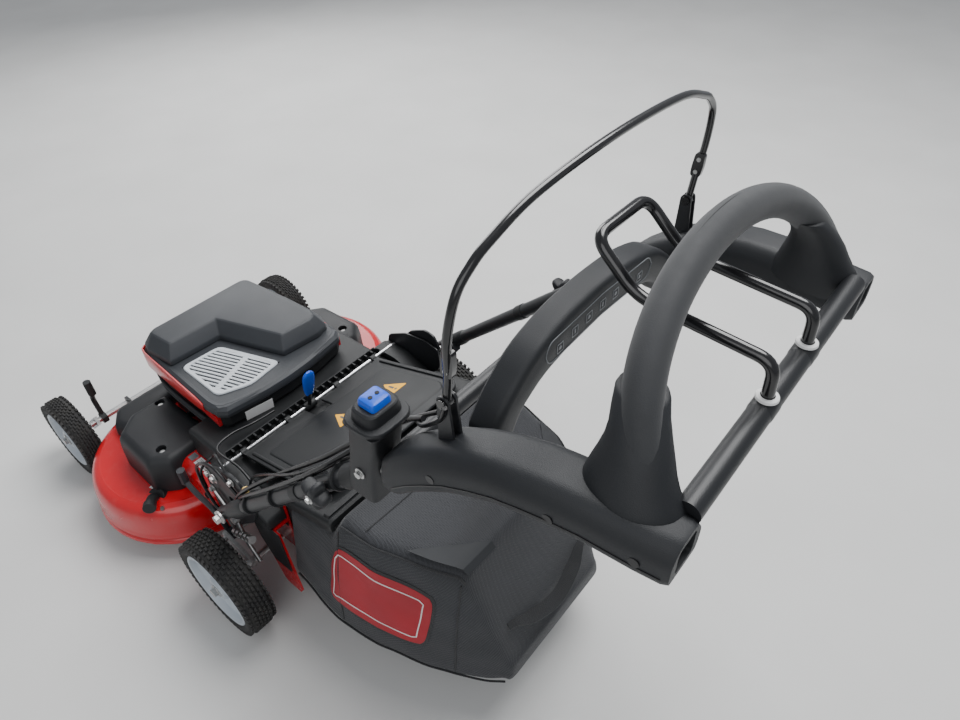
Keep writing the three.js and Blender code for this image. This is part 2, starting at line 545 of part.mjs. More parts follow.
// ---------------------------------------------------------------- grass bag
// Section across the bag at a station: half-width and height of the bottom and of the top.
function bagRing([y, bottomHalf, bottom, topHalf, top]) {
  const r = Math.min(26, (top - bottom) / 3);
  const half = [[bottomHalf - r, bottom], [bottomHalf, bottom + r], [topHalf + 4, top - r], [topHalf - r, top]];
  return half.concat(half.slice().reverse().map(([x, z]) => [-x, z])).map(([x, z]) => [x, y, z]);
}
const BAG = [[97, 232, 112, 204, 302], [228, 246, 104, 205, 346], [246, 246, 104, 204, 392], [330, 234, 100, 198, 400],
  [425, 206, 100, 172, 398], [476, 186, 104, 146, 384], [524, 160, 108, 138, 240], [552, 142, 116, 132, 160]];
const BAG_SKIN = 4;
function bagFabric() {
  const outer = loft(BAG.map(bagRing), (p) => [p[0], p[2]]);
  const inner = BAG.map(([y, bh, b, th, t], i) => bagRing([
    i === 0 ? y + BAG_SKIN : i === BAG.length - 1 ? y - 12 : y - (i > 5 ? 6 : 0),
    bh - BAG_SKIN, b + BAG_SKIN, th - BAG_SKIN, t - (i > 5 ? 12 : BAG_SKIN)]));
  return cut(outer, loft(inner, (p) => [p[0], p[2]]), block(-182, 182, 80, 140, 158, 284));
}
piece('bag_fabric', bagFabric(), 'fabric');

piece('bag_frame', cut(block(-200, 200, CHUTE.rear + GAP, 96, 142, 296), block(-184, 184, 60, 110, 156, 285)), 'black');

function bagHood() {
  const ring = (y, top, low, grow = 0) => [[-214 + grow, low], [214 - grow, low], [214 - grow, top - 12], [204 - grow, top],
    [-204 + grow, top], [-214 + grow, top - 12]].map(([x, z]) => [x, y, z]);
  const shell = loft([ring(84, 336, 312), ring(226, 377, 349)], (p) => [p[0], p[2]]);
  const under = loft([ring(80, 331, 280, 4), ring(222, 372, 330, 4)], (p) => [p[0], p[2]]);
  const belly = block(-206, 206, 215, 230, 300, 366);
  return cut(shell, under, belly);
}
piece('bag_hood', bagHood(), 'black');

function bagStrap() {
  const path = new THREE.CatmullRomCurve3([v(-96, 545, 236), v(-70, 562, 214),
    v(0, 572, 200), v(70, 562, 214), v(96, 545, 236)]);
  const band = new THREE.Shape([[-12, -2], [12, -2], [12, 2], [-12, 2]].map(([a, b]) => new THREE.Vector2(a, b)));
  return mergeClean(new THREE.ExtrudeGeometry(band, { steps: 20, bevelEnabled: false, extrudePath: path }));
}
piece('bag_strap', bagStrap(), 'fabric');

// ---------------------------------------------------------------- lower handle
const flip = ([x, y, z], s) => [s * x, y, z];
const lowEnd = [FOLD.x, FOLD.y, FOLD.z];
const along = (k) => lowEnd.map((c, i) => c + (TUBE_BEND[i] - c) * k);   // point on the lower run
for (const [name, s] of SIDES) {
  const foot = along(-0.045);
  const bent = bentTube([flip(foot, s), flip(TUBE_BEND, s), flip(TUBE_END, s)], TUBE_RADIUS, 60, 12, 16);
  const bolt = rod([s * (FOLD.x - 40), FOLD.y, FOLD.z], [s * (FOLD.x + 40), FOLD.y, FOLD.z], 5.3);
  const knobBore = rod([s * 200, 345, 619], [s * 330, 345, 619], 4.8);
  piece(`lower_tube_${name}`, cut(bent, bolt, knobBore), 'tube');
}
const CROSS = { y: 452, z: 717.3 };
piece('handle_cross_tube', rod([-250 + TUBE_RADIUS + GAP, CROSS.y, CROSS.z],
  [250 - TUBE_RADIUS - GAP, CROSS.y, CROSS.z], 12, 16),
  'tube');

// five-lobed clamp knob on a threaded stem through the tube
function starKnob(side) {
  const lobes = [...Array(5).keys()].map((i) => {
    const a = (2 * Math.PI * i) / 5;
    return rod([0, 15 * Math.cos(a), 15 * Math.sin(a)], [20, 15 * Math.cos(a), 15 * Math.sin(a)], 9, 8);
  });
  const stem = rod([-42, 0, 0], [2, 0, 0], 4, 12);
  return join(rod([0, 0, 0], [24, 0, 0], 14, 12), ...lobes, stem).scale(side, 1, 1);
}
for (const [name, s] of SIDES) {
  const solid = toSolid(starKnob(1));
  const geometry = toGeometry(solid);
  if (s < 0) geometry.rotateZ(Math.PI);
  const [kx] = along((345 - FOLD.y) / (TUBE_BEND[1] - FOLD.y));
  piece(`handle_knob_${name}`, geometry.translate(s * (kx + TUBE_RADIUS + 3), 345, 619), 'black');
}

// ---------------------------------------------------------------- start key housing
const KEY = { x: 250, y: 442, z: 760 };
function keyHousing() {
  const ring = (z, hx, y0, y1) => [[-hx, y0], [-hx + 6, y0 - 4], [hx - 6, y0 - 4], [hx, y0],
    [hx, y1], [hx - 6, y1 + 4], [-hx + 6, y1 + 4],
    [-hx, y1]].map(([x, y]) => [KEY.x + x, y, z]);
  const post = loft([ring(672, 24, 412, 452), ring(740, 24, 424, 462), ring(812, 25, 434, 474)], (p) => [p[0], p[1]]);
  const flange = loft([ring(806, 36, 430, 486), ring(812, 36, 430, 486)], (p) => [p[0], p[1]]);
  const cap = loft([ring(811, 28, 438, 476), ring(828, 26, 440, 474)], (p) => [p[0], p[1]]);
  const tubeWay = bentTube([along(0.6), TUBE_BEND, TUBE_END], TUBE_RADIUS + 0.9, 60, 12, 12);
  const buttonWell = block(KEY.x - 13, KEY.x + 13, 444, 470, 818, 840);
  const crossWay = rod([100, CROSS.y, CROSS.z], [KEY.x, CROSS.y, CROSS.z], 13, 16);
  return cut(join(post, flange, cap), tubeWay, buttonWell, crossWay);
}
piece('key_housing', keyHousing(), 'black');
piece('start_button', block(KEY.x - 12, KEY.x + 12, 445, 469, 823, 838), 'blue');

// ---------------------------------------------------------------- upper handle
const ARM = [[494, 757, 218, 282, 44], [540, 798, 216, 280, 46], [600, 832, 208, 276, 46], [660, 847, 200, 270, 46],
  [720, 849, ARM_INNER_X, 262, 46], [770, 845, ARM_INNER_X, 256, 48], [800, 844, ARM_INNER_X, 252, 50]];
for (const [name, s] of SIDES) {
  const body = arm(ARM, s);
  const base = loft([[-1, 44, 34], [0, 40, 30], [44, 25, 22], [80, 21, 20]].map(([h, l, w]) => {
    const t = h / Math.hypot(GRIP_TOP.z - GRIP_BASE.z, GRIP_TOP.y - GRIP_BASE.y);
    const cx = 226 - 10 * t;
    const cy = GRIP_BASE.y + (GRIP_TOP.y - GRIP_BASE.y) * t;
    const cz = GRIP_BASE.z - 14 + (GRIP_TOP.z - GRIP_BASE.z) * t;
    return circle(1, 12).map(([a, b]) => [s * (cx + a * w * 0.95), cy + b * l, cz]);
  }), (p) => [p[0], p[1]]);
  const dir = new THREE.Vector3(0, TUBE_END[1] - TUBE_BEND[1], TUBE_END[2] - TUBE_BEND[2]).normalize();
  const from = [TUBE_BEND[0] * s, TUBE_BEND[1] + dir.y * 40, TUBE_BEND[2] + dir.z * 40];
  const deep = 44;                      // free depth beyond the tube's end, for the handle's travel
  const to = [TUBE_END[0] * s, TUBE_END[1] + dir.y * deep, TUBE_END[2] + dir.z * deep];
  const socket = rod(from, to, TUBE_RADIUS + 1, 16);
  const gripWay = [gripTube(GRIP_RADIUS + 0.4)];
  const rearHollow = block(...[s * (ARM_INNER_X + 12), s * 240].sort((a, b) => a - b), 776, 810, 830, 858);
  const barWay = rod([s * 150, CROSSBAR.y, CROSSBAR.z],
    [s * (ARM_INNER_X + 10), CROSSBAR.y, CROSSBAR.z], CROSSBAR.radius + GAP, 16);
  const bailWay = block(...[s * (BAIL_FOOT.x - 12), s * (BAIL_FOOT.x + 12)].sort((a, b) => a - b),
    BAIL_FOOT.y - 34, BAIL_FOOT.y + 14,
    BAIL_FOOT.z - 12, BAIL_FOOT.z + 60);
  piece(`handle_arm_${name}`, cut(join(body, base), socket, ...gripWay, rearHollow, barWay, bailWay), 'grey');
}

// Arched foam grip in a plane that leans forward.
function gripTube(radius) {
  const rise = Math.hypot(GRIP_TOP.z - GRIP_BASE.z, GRIP_TOP.y - GRIP_BASE.y);
  const up = [(GRIP_TOP.y - GRIP_BASE.y) / rise, (GRIP_TOP.z - GRIP_BASE.z) / rise];
  const points = [...Array(15).keys()].map((i) => {
    const a = (Math.PI * i) / 14;
    const h = rise * Math.pow(Math.sin(a), 0.9);
    return v(GRIP_BASE.x * Math.cos(a), GRIP_BASE.y + up[0] * h, GRIP_BASE.z + up[1] * h);
  });
  return sweep(new THREE.CatmullRomCurve3(points), radius, 12, 22);
}
piece('loop_grip', gripTube(GRIP_RADIUS), 'foam');

const barEnd = ARM_INNER_X + 9;
piece('rear_crossbar', rod([-barEnd, CROSSBAR.y, CROSSBAR.z],
  [barEnd, CROSSBAR.y, CROSSBAR.z], CROSSBAR.radius, 20), 'tube');

function frontPanel() {
  const outline = mirrored([[0, 897], [70, 893], [132, 876], [176, 842], [ARM_INNER_X + 3, 812], [ARM_INNER_X + 3, 776], [168, 782],
    [150, 812], [112, 834], [60, 844], [0, 847]]).filter((p, i, all) => i === 0 || p[0] !== all[i - 1][0] || p[1] !== all[i - 1][1]);
  const shape = new THREE.Shape(outline.slice(0, -1).map((p) => new THREE.Vector2(...p)));
  const slab = new THREE.ExtrudeGeometry(shape, { depth: 38, bevelEnabled: false });
  return mergeClean(slab.rotateX(Math.PI / 2).translate(0, 566, 0));
}
piece('front_panel', cut(frontPanel(), ...SIDES.map(([, s]) =>
  arm(ARM.map(([y, z, a, b, h]) => [y, z, a - GAP, b, h + 2 * GAP]), s))), 'grey');

function tractionBar() {
  const y = CROSSBAR.y;
  const z = CROSSBAR.z + CROSSBAR.radius + GAP;
  const path = [[50, y, z], [50, y - 2, z + 42], [50, 640, 932], [50, 588, 980],
    [-50, 588, 980], [-50, 640, 932], [-50, y - 2, z + 42],
    [-50, y, z]];
  return bentTube(path, 6.5, 18, 8, 44);
}
piece('traction_bar', tractionBar(), 'tube');

function bail() {
  const { x, y, z } = BAIL_FOOT;
  const half = [[x, 0], [x, 34], [x + 6, 78], [x - 4, 122], [x - 46, 162], [128, 182], [0, 190]];
  const lean = 0.1;                                       // the bail stands slightly towards the operator
  const points = half.concat(half.slice(0, -1).reverse().map(([a, h]) => [-a, h]))
    .map(([a, h]) => v(a, y + lean * h, z + h));
  const wire = sweep(new THREE.CatmullRomCurve3(points, false, 'centripetal'), 4.5, 8, 34);
  const feet = SIDES.map(([, s]) => rod([s * (x - 9), y, z], [s * (x + 9), y, z], 6, 14));
  const joints = SIDES.map(([, s]) => block(s * x - 3, s * x + 3, y - 2, y + 12, z + 36, z + 64));
  return join(wire, ...feet, ...joints);
}
piece('bail', bail(), 'tube');

// ---------------------------------------------------------------- control cables
const cableRun = (dx, dz) => [
  [FOLD.x - 26 + dx, FOLD.y + 20, FOLD.z + 34 + dz], [FOLD.x - 16 + dx, 110, 424 + dz], [264 + dx, 220, 532 + dz],
  [250 + dx, 320, 624 + dz], [220 + dx, 396, 704 + dz], [204 + dx, 440, 752 + dz]];
[[0, 0], [-9, 3]].forEach(([dx, dz], i) => {
  const path = new THREE.CatmullRomCurve3(cableRun(dx, dz).map((q) => v(...q)));
  piece(`control_cable_${i + 1}`, sweep(path, 3, 8, 18), 'black');
});

// ---------------------------------------------------------------- origin at the bottom centre
const box = new THREE.Box3().setFromObject(model);
model.position.set(-(box.min.x + box.max.x) / 2, -(box.min.y + box.max.y) / 2, -box.min.z);

export default group;
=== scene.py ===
"""Looks of a walk-behind battery lawn mower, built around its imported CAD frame.

Layout numbers are millimetres from the ground point under the rear axle, +X to the operator's
left, +Y to the rear and +Z up; at() turns them into the row frame's metres.
"""
import math

import bmesh
import bpy
from mathutils import Matrix, Quaternion, Vector


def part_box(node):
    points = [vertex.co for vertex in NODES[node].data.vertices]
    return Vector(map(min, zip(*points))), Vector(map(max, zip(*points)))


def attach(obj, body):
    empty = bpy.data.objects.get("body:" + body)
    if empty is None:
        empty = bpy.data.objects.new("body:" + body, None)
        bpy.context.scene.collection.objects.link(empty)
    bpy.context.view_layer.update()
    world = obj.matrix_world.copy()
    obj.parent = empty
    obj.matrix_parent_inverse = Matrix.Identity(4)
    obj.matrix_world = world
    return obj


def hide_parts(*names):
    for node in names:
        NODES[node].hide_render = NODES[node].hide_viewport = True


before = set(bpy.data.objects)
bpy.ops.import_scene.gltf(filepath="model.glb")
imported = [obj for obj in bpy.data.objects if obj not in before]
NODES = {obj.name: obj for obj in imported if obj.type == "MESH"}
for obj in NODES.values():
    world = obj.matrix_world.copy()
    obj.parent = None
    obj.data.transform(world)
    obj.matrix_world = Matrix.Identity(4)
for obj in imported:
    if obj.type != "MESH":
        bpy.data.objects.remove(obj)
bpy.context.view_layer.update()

MM = 0.001
tyre_low, tyre_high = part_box("rear_tyre_left")
AXLE_Y = (tyre_low.y + tyre_high.y) / 2
SIDES = (("left", 1), ("right", -1))
TAU = 2 * math.pi


def at(x, y, z):
    """Layout millimetres to the row frame's metres."""
    return Vector((x * MM, y * MM + AXLE_Y, z * MM))


def layout(p):
    """The row frame's metres back to layout millimetres."""
    return p.x / MM, (p.y - AXLE_Y) / MM, p.z / MM


def circle(sides):
    """Evenly spaced directions round a unit circle."""
    return [(math.cos(TAU * i / sides), math.sin(TAU * i / sides)) for i in range(sides)]


def plan(outline, z, side=1):
    """A level ring of points from an (x, y) outline; side -1 mirrors it."""
    return [at(side * x, y, z) for x, y in outline]


def front(outline, y, side=1):
    """A ring facing along Y from an (x, z) outline."""
    return [at(side * x, y, z) for x, z in outline]


def profile(outline, x):
    """A ring facing along X from a (y, z) outline."""
    return [at(x, y, z) for y, z in outline]


# ------------------------------------------------------------------ camera, light, floor
CAMERA = {"at": (582, 891, 1353), "look": (-271, 157, 362), "roll": -1.88, "lens": 26.62}
FLOOR_HALF = 9.0


def make_camera():
    data = bpy.data.cameras.new("camera")
    data.lens = CAMERA["lens"]
    data.sensor_width = 36
    data.clip_start = 0.01
    camera = bpy.data.objects.new("camera", data)
    bpy.context.scene.collection.objects.link(camera)
    camera.location = at(*CAMERA["at"])
    aim = (at(*CAMERA["look"]) - camera.location).to_track_quat("-Z", "Y")
    roll = Quaternion((0, 0, 1), math.radians(CAMERA["roll"]))
    camera.rotation_mode = "QUATERNION"
    camera.rotation_quaternion = aim @ roll
    bpy.context.scene.camera = camera


def area_light(name, place, look, size, power):
    data = bpy.data.lights.new(name, "AREA")
    data.shape = "DISK"
    data.size = size
    data.energy = power
    light = bpy.data.objects.new(name, data)
    bpy.context.scene.collection.objects.link(light)
    light.location = at(*place)
    light.rotation_mode = "QUATERNION"
    light.rotation_quaternion = (at(*look) - light.location).to_track_quat("-Z", "Y")


def make_studio():
    middle = (0, 0, 300)
    area_light("key", (-1500, 400, 3600), middle, 2.6, 165)
    area_light("fill", (2600, 1600, 2400), middle, 3.0, 40)
    area_light("back", (-1800, -2600, 2200), middle, 2.6, 80)
    world = bpy.data.worlds.new("studio")
    bpy.context.scene.world = world
    world.use_nodes = True
    world.node_tree.nodes["Background"].inputs["Color"].default_value = (0.80, 0.83, 0.88, 1)
    world.node_tree.nodes["Background"].inputs["Strength"].default_value = 0.48
    corners = [(x * FLOOR_HALF, y * FLOOR_HALF, 0) for x, y in ((-1, -1), (1, -1), (1, 1), (-1, 1))]
    mesh = bpy.data.meshes.new("floor")
    mesh.from_pydata(corners, [], [(0, 1, 2, 3)])
    floor = bpy.data.objects.new("floor", mesh)
    bpy.context.scene.collection.objects.link(floor)
    floor.data.materials.append(plain_floor())


# ------------------------------------------------------------------ materials
class Nodes:
    """Small helper that adds and links shader nodes of one material."""

    def __init__(self, name):
        self.material = bpy.data.materials.new(name)
        self.material.use_nodes = True
        self.tree = self.material.node_tree
        self.shader = self.tree.nodes["Principled BSDF"]
        self.coords = self.tree.nodes.new("ShaderNodeTexCoord").outputs["Object"]

    def add(self, kind, **values):
        node = self.tree.nodes.new(kind)
        for key, value in values.items():
            if isinstance(value, bpy.types.NodeSocket):
                self.tree.links.new(value, node.inputs[key])
            elif key in node.inputs:
                node.inputs[key].default_value = value
            else:
                setattr(node, key, value)
        return node

    def noise(self, scale, detail=3.0, roughness=0.5, vector=None):
        node = self.add("ShaderNodeTexNoise", Scale=scale, Detail=detail, Roughness=roughness)
        self.tree.links.new(vector or self.coords, node.inputs["Vector"])
        return node.outputs["Fac"]

    def ramp(self, value, stops):
        node = self.tree.nodes.new("ShaderNodeValToRGB")
        elements = node.color_ramp.elements
        while len(elements) < len(stops):
            elements.new(0.5)
        for element, (place, colour) in zip(elements, stops):
            element.position = place
            element.color = (*colour, 1)
        self.tree.links.new(value, node.inputs["Fac"])
        return node.outputs["Color"]

    def spread(self, value, low, high, lowest=0.0, highest=1.0):
        node = self.add("ShaderNodeMapRange")
        for key, number in (("From Min", lowest), ("From Max", highest), ("To Min", low), ("To Max", high)):
            node.inputs[key].default_value = number
        self.tree.links.new(value, node.inputs["Value"])
        return node.outputs["Result"]

    def math(self, operation, a, b=0.0):
        node = self.tree.nodes.new("ShaderNodeMath")
        node.operation = operation
        for i, value in enumerate((a, b)):
            if isinstance(value, bpy.types.NodeSocket):
                self.tree.links.new(value, node.inputs[i])
            else:
                node.inputs[i].default_value = value
        return node.outputs[0]

    def bump(self, height, strength, distance, after=None):
        node = self.add("ShaderNodeBump", Strength=strength, Distance=distance)
        self.tree.links.new(height, node.inputs["Height"])
        if after is not None:
            self.tree.links.new(after, node.inputs["Normal"])
        return node.outputs["Normal"]

    def set(self, **values):
        names = {"color": "Base Color", "rough": "Roughness", "metal": "Metallic", "normal": "Normal",
                 "coat": "Coat Weight", "coat_rough": "Coat Roughness", "sheen": "Sheen Weight",
                 "specular": "Specular IOR Level"}
        for key, value in values.items():
            socket = self.shader.inputs[names[key]]
            if isinstance(value, bpy.types.NodeSocket):
                self.tree.links.new(value, socket)
            elif key == "color":
                socket.default_value = (*value, 1)
            else:
                socket.default_value = value
        return self.material


def mixed(colour, k):
    return tuple(min(1.0, c * k) for c in colour)


def plain_floor():
    m = Nodes("floor_paper")
    tone = m.ramp(m.noise(3.0), [(0.3, (0.60, 0.60, 0.59)), (0.7, (0.64, 0.64, 0.63))])
    return m.set(color=tone, rough=0.9, specular=0.2)


def paint(name, colour, rough=0.22, peel=0.05, metal=0.0, dust=0.12):
    """Powder coat or gloss paint: orange peel, faint mottling and a thin film of dust."""
    m = Nodes(name)
    tone = m.ramp(m.noise(6.0, 4.0), [(0.25, mixed(colour, 0.88)), (0.75, mixed(colour, 1.08))])
    dirt = m.spread(m.noise(38.0, 6.0, 0.7), 0.0, dust, 0.52, 0.78)
    blend = m.add("ShaderNodeMix", data_type="RGBA")
    m.tree.links.new(dirt, blend.inputs["Factor"])
    m.tree.links.new(tone, blend.inputs["A"])
    blend.inputs["B"].default_value = (0.36, 0.33, 0.29, 1)
    wear = m.spread(m.noise(14.0, 5.0), rough * 0.8, rough * 1.45)
    normal = m.bump(m.noise(520.0, 2.0), peel, 0.0006)
    return m.set(color=blend.outputs["Result"], rough=wear, metal=metal, normal=normal, coat=0.35,
                 coat_rough=0.12)


def moulded(name, colour, rough=0.55, grain=0.22, scale=1100.0, coat=0.0, shine=0.38):
    """Moulded plastic with a spark-eroded grain and softly varying gloss."""
    m = Nodes(name)
    tone = m.ramp(m.noise(9.0, 4.0), [(0.25, mixed(colour, 0.86)), (0.75, mixed(colour, 1.14))])
    voronoi = m.add("ShaderNodeTexVoronoi", Scale=scale)
    m.tree.links.new(m.coords, voronoi.inputs["Vector"])
    grainy = m.bump(voronoi.outputs["Distance"], grain, 0.0005)
    normal = m.bump(m.noise(26.0, 2.0), 0.03, 0.004, grainy)
    sheen = m.spread(m.noise(17.0, 5.0), rough * 0.86, rough * 1.14)
    return m.set(color=tone, rough=sheen, normal=normal, coat=coat, specular=shine)


def bare_metal(name, colour, rough=0.32, brush=(1, 1, 60)):
    """Zinc-plated or brushed steel with fine directional streaks."""
    m = Nodes(name)
    mapping = m.add("ShaderNodeMapping", Scale=brush)
    m.tree.links.new(m.coords, mapping.inputs["Vector"])
    streak = m.noise(40.0, 5.0, 0.6, mapping.outputs["Vector"])
    tone = m.ramp(streak, [(0.3, mixed(colour, 0.8)), (0.7, mixed(colour, 1.1))])
    return m.set(color=tone, rough=m.spread(streak, rough * 0.75, rough * 1.3), metal=0.95,
                 normal=m.bump(streak, 0.08, 0.0006))


def foam_rubber():
    m = Nodes("foam_rubber")
    tone = m.ramp(m.noise(12.0, 4.0), [(0.2, (0.018, 0.0195, 0.022)), (0.8, (0.028, 0.030, 0.033))])
    pores = m.noise(900.0, 3.0)
    return m.set(color=tone, rough=m.spread(m.noise(60.0), 0.62, 0.8), normal=m.bump(pores, 0.35, 0.0007),
                 sheen=0.15)


def tyre_rubber():
    m = Nodes("tyre_rubber")
    dust = m.noise(30.0, 6.0, 0.7)
    tone = m.ramp(dust, [(0.35, (0.014, 0.014, 0.015)), (0.62, (0.030, 0.029, 0.027)),
                         (0.85, (0.10, 0.09, 0.075))])
    return m.set(color=tone, rough=m.spread(dust, 0.65, 0.95), normal=m.bump(m.noise(420.0, 3.0), 0.2,
            0.0008))


def woven_mesh(name, colour, pitch=0.0032):
    """Coarse woven cloth: raised ribs one way, finer cross threads the other way, with painted shade
    darkening the grooves between them.
    """
    m = Nodes(name)
    separate = m.add("ShaderNodeSeparateXYZ")
    warp = m.add("ShaderNodeMapping", Rotation=(0.35, 0.5, 0.3))
    m.tree.links.new(m.coords, warp.inputs["Vector"])
    m.tree.links.new(warp.outputs["Vector"], separate.inputs["Vector"])
    k = TAU / pitch
    slow = m.spread(m.noise(3.0, 2.0), -3.0, 3.0)
    a = m.math("SINE", m.math("ADD", m.math("MULTIPLY", separate.outputs["X"], k), slow))
    b = m.math("SINE", m.math("MULTIPLY", separate.outputs["Z"], k))
    c = m.math("SINE", m.math("MULTIPLY", separate.outputs["Y"], k))
    ribs = m.math("MAXIMUM", a, m.math("MULTIPLY", m.math("MAXIMUM", b, c), 0.55))
    height = m.spread(ribs, 0.0, 1.0, -1.0, 1.0)
    fuzz = m.noise(700.0, 3.0)
    mottled = m.ramp(m.noise(7.0, 5.0), [(0.25, mixed(colour, 0.72)), (0.75, mixed(colour, 1.25))])
    # Painted shade: the mottled tone is multiplied darker in the grooves, deepest where the weave is lowest.
    blend = m.add("ShaderNodeMix", data_type="RGBA", blend_type="MULTIPLY")
    m.tree.links.new(m.spread(height, 1.0, 0.1), blend.inputs["Factor"])
    m.tree.links.new(mottled, blend.inputs["A"])
    blend.inputs["B"].default_value = (0.30, 0.30, 0.32, 1)
    normal = m.bump(fuzz, 0.25, 0.0004, m.bump(height, 0.75, 0.0011))
    return m.set(color=blend.outputs["Result"], rough=0.78, normal=normal, sheen=0.12)


RED = (0.52, 0.006, 0.012)
MATERIALS = {}


def make_materials():
    MATERIALS.update(
        red=paint("red_paint", RED, dust=0.05),
        red_plastic=moulded("red_plastic", (0.56, 0.016, 0.018), 0.30, 0.05, coat=0.3),
        black=moulded("black_plastic", (0.011, 0.012, 0.013), 0.50),
        gloss_black=moulded("gloss_black", (0.010, 0.010, 0.011), 0.28, 0.05),
        cover=moulded("cover_plastic", (0.014, 0.015, 0.017), 0.50, 0.3),
        grey=moulded("grey_plastic", (0.030, 0.033, 0.038), 0.46, 0.3),
        arm=moulded("arm_plastic", (0.015, 0.0165, 0.019), 0.52, 0.3),
        silver=moulded("silver_plastic", (0.50, 0.53, 0.56), 0.38, 0.1),
        rim=moulded("rim_plastic", (0.43, 0.47, 0.51), 0.36, 0.08),
        blue=moulded("blue_plastic", (0.006, 0.085, 0.60), 0.34, 0.08),
        steel_black=moulded("black_powder_coat", (0.013, 0.014, 0.016), 0.40, 0.14, 900.0, shine=0.45),
        gloss_wire=paint("gloss_black_wire", (0.008, 0.008, 0.009), 0.16, 0.05, dust=0.03),
        steel=bare_metal("zinc_steel", (0.62, 0.62, 0.61)),
        chrome=bare_metal("bright_rod", (0.80, 0.80, 0.81), 0.16),
        brass=bare_metal("brass", (0.62, 0.44, 0.17), 0.3),
        foam=foam_rubber(),
        tyre=tyre_rubber(),
        cloth=woven_mesh("bag_mesh", (0.030, 0.032, 0.037)),
        binding=woven_mesh("bag_binding", (0.016, 0.017, 0.019), 0.0016),
        patch=moulded("bag_patch", (0.022, 0.024, 0.027), 0.66, 0.3, 700.0),
        label_red=moulded("label_red", (0.36, 0.012, 0.022), 0.5, 0.15),
        label_white=moulded("label_white", (0.74, 0.74, 0.73), 0.45, 0.05),
        label_grey=moulded("label_grey", (0.15, 0.16, 0.17), 0.45, 0.05),
        yellow=moulded("label_yellow", (0.90, 0.43, 0.004), 0.42, 0.05, shine=0.2),
    )


# ------------------------------------------------------------------ mesh helpers
def finish_piece(name, bm, material, body, replaces=(), sharp=32, bevel=0.0, slot=None):
    """Makes an object from bm and sets its material, body, bevel and shading."""
    bmesh.ops.recalc_face_normals(bm, faces=bm.faces)
    mesh = bpy.data.meshes.new(name)
    bm.to_mesh(mesh)
    bm.free()
    obj = bpy.data.objects.new(name, mesh)
    bpy.context.scene.collection.objects.link(obj)
    mesh.materials.append(MATERIALS[material])
    mesh.shade_smooth()
    mesh.set_sharp_from_angle(angle=math.radians(sharp))
    if bevel:
        modifier = obj.modifiers.new("edge", "BEVEL")
        modifier.width = bevel * MM
        modifier.segments = 2
        modifier.limit_method = "ANGLE"
        modifier.angle_limit = math.radians(28)
        modifier.harden_normals = True
    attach(obj, body)
    if replaces:
        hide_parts(*replaces)
    return obj


def skin(bm, rings, cap=True, closed=False):
    """Joins rings of points with quads; rings are lists of Vectors."""
    rows = [[bm.verts.new(p) for p in ring] for ring in rings]
    n = len(rows[0])
    pairs = list(zip(rows, rows[1:])) + ([(rows[-1], rows[0])] if closed else [])
    for low, high in pairs:
        for i in range(n):
            j = (i + 1) % n
            bm.faces.new((low[i], low[j], high[j], high[i]))
    if cap and not closed:
        bm.faces.new(rows[0])
        bm.faces.new(rows[-1])
    return rows


def rounded(outline, radius, steps=5):
    """A 2-D outline with its corners turned into arcs; radius may be one number or one per corner."""
    n = len(outline)
    result = []
    for i, corner in enumerate(outline):
        r = radius[i] if isinstance(radius, (list, tuple)) else radius
        p = Vector(corner)
        a = Vector(outline[i - 1]) - p
        b = Vector(outline[(i + 1) % n]) - p
        reach = min(r, a.length * 0.45, b.length * 0.45)
        start = p + a.normalized() * reach
        end = p + b.normalized() * reach
        for k in range(steps + 1):
            t = k / steps
            q = start * (1 - t) ** 2 + p * 2 * t * (1 - t) + end * t ** 2
            result.append((q.x, q.y))
    return result


def inset(outline, d):
    """Moves a convex-ish outline inwards by d, each point along its corner's bisector."""
    n = len(outline)
    area = sum(outline[i - 1][0] * outline[i][1] - outline[i][0] * outline[i - 1][1] for i in range(n))
    turn = 1 if area > 0 else -1
    result = []
    for i in range(n):
        a, p, b = Vector(outline[i - 1]), Vector(outline[i]), Vector(outline[(i + 1) % n])
        u, w = (p - a).normalized(), (b - p).normalized()
        normal = Vector((-(u.y + w.y), u.x + w.x)) * turn
        if normal.length < 1e-6:
            normal = Vector((-u.y, u.x)) * turn
        normal.normalize()
        cosine = max(0.45, normal.dot(Vector((-u.y, u.x)) * turn))
        q = p + normal * d / cosine
        result.append((q.x, q.y))
    return result


def plate_x(name, outline, x0, x1, material, body, replaces=(), holes=(), **more):
    """A flat plate standing in the Y-Z plane between x0 and x1, with round holes."""
    bm = bmesh.new()
    skin(bm, [profile(outline, x) for x in (x0, x1)])
    obj = finish_piece(name, bm, material, body, replaces, **more)
    drill(obj, [(at(x0 - 5, y, z), at(x1 + 5, y, z), r) for y, z, r in holes])
    return obj


def drill(obj, holes):
    """Cuts round holes, given as (from, to, radius in mm), into a piece."""
    if holes:
        cut_by(obj, lambda bm: [cylinder(bm, a, b, r, 24) for a, b, r in holes])


def cut_by(obj, build):
    """Cuts the solid made by build(bm) out of a piece; the cut comes before its bevel."""
    bm = bmesh.new()
    build(bm)
    bmesh.ops.recalc_face_normals(bm, faces=bm.faces)
    mesh = bpy.data.meshes.new("tool")
    bm.to_mesh(mesh)
    bm.free()
    tool = bpy.data.objects.new("tool", mesh)
    bpy.context.scene.collection.objects.link(tool)
    modifier = obj.modifiers.new("cut", "BOOLEAN")
    modifier.object = tool
    modifier.operation = "DIFFERENCE"
    modifier.solver = "EXACT"
    others = [m for m in obj.modifiers if m != modifier]
    for m in others:
        m.show_viewport = False
    graph = bpy.context.evaluated_depsgraph_get()
    result = bpy.data.meshes.new_from_object(obj.evaluated_get(graph))
    obj.modifiers.remove(modifier)
    obj.data = result
    for m in others:
        m.show_viewport = True
    result.shade_smooth()
    result.set_sharp_from_angle(angle=math.radians(30))
    bpy.data.objects.remove(tool)


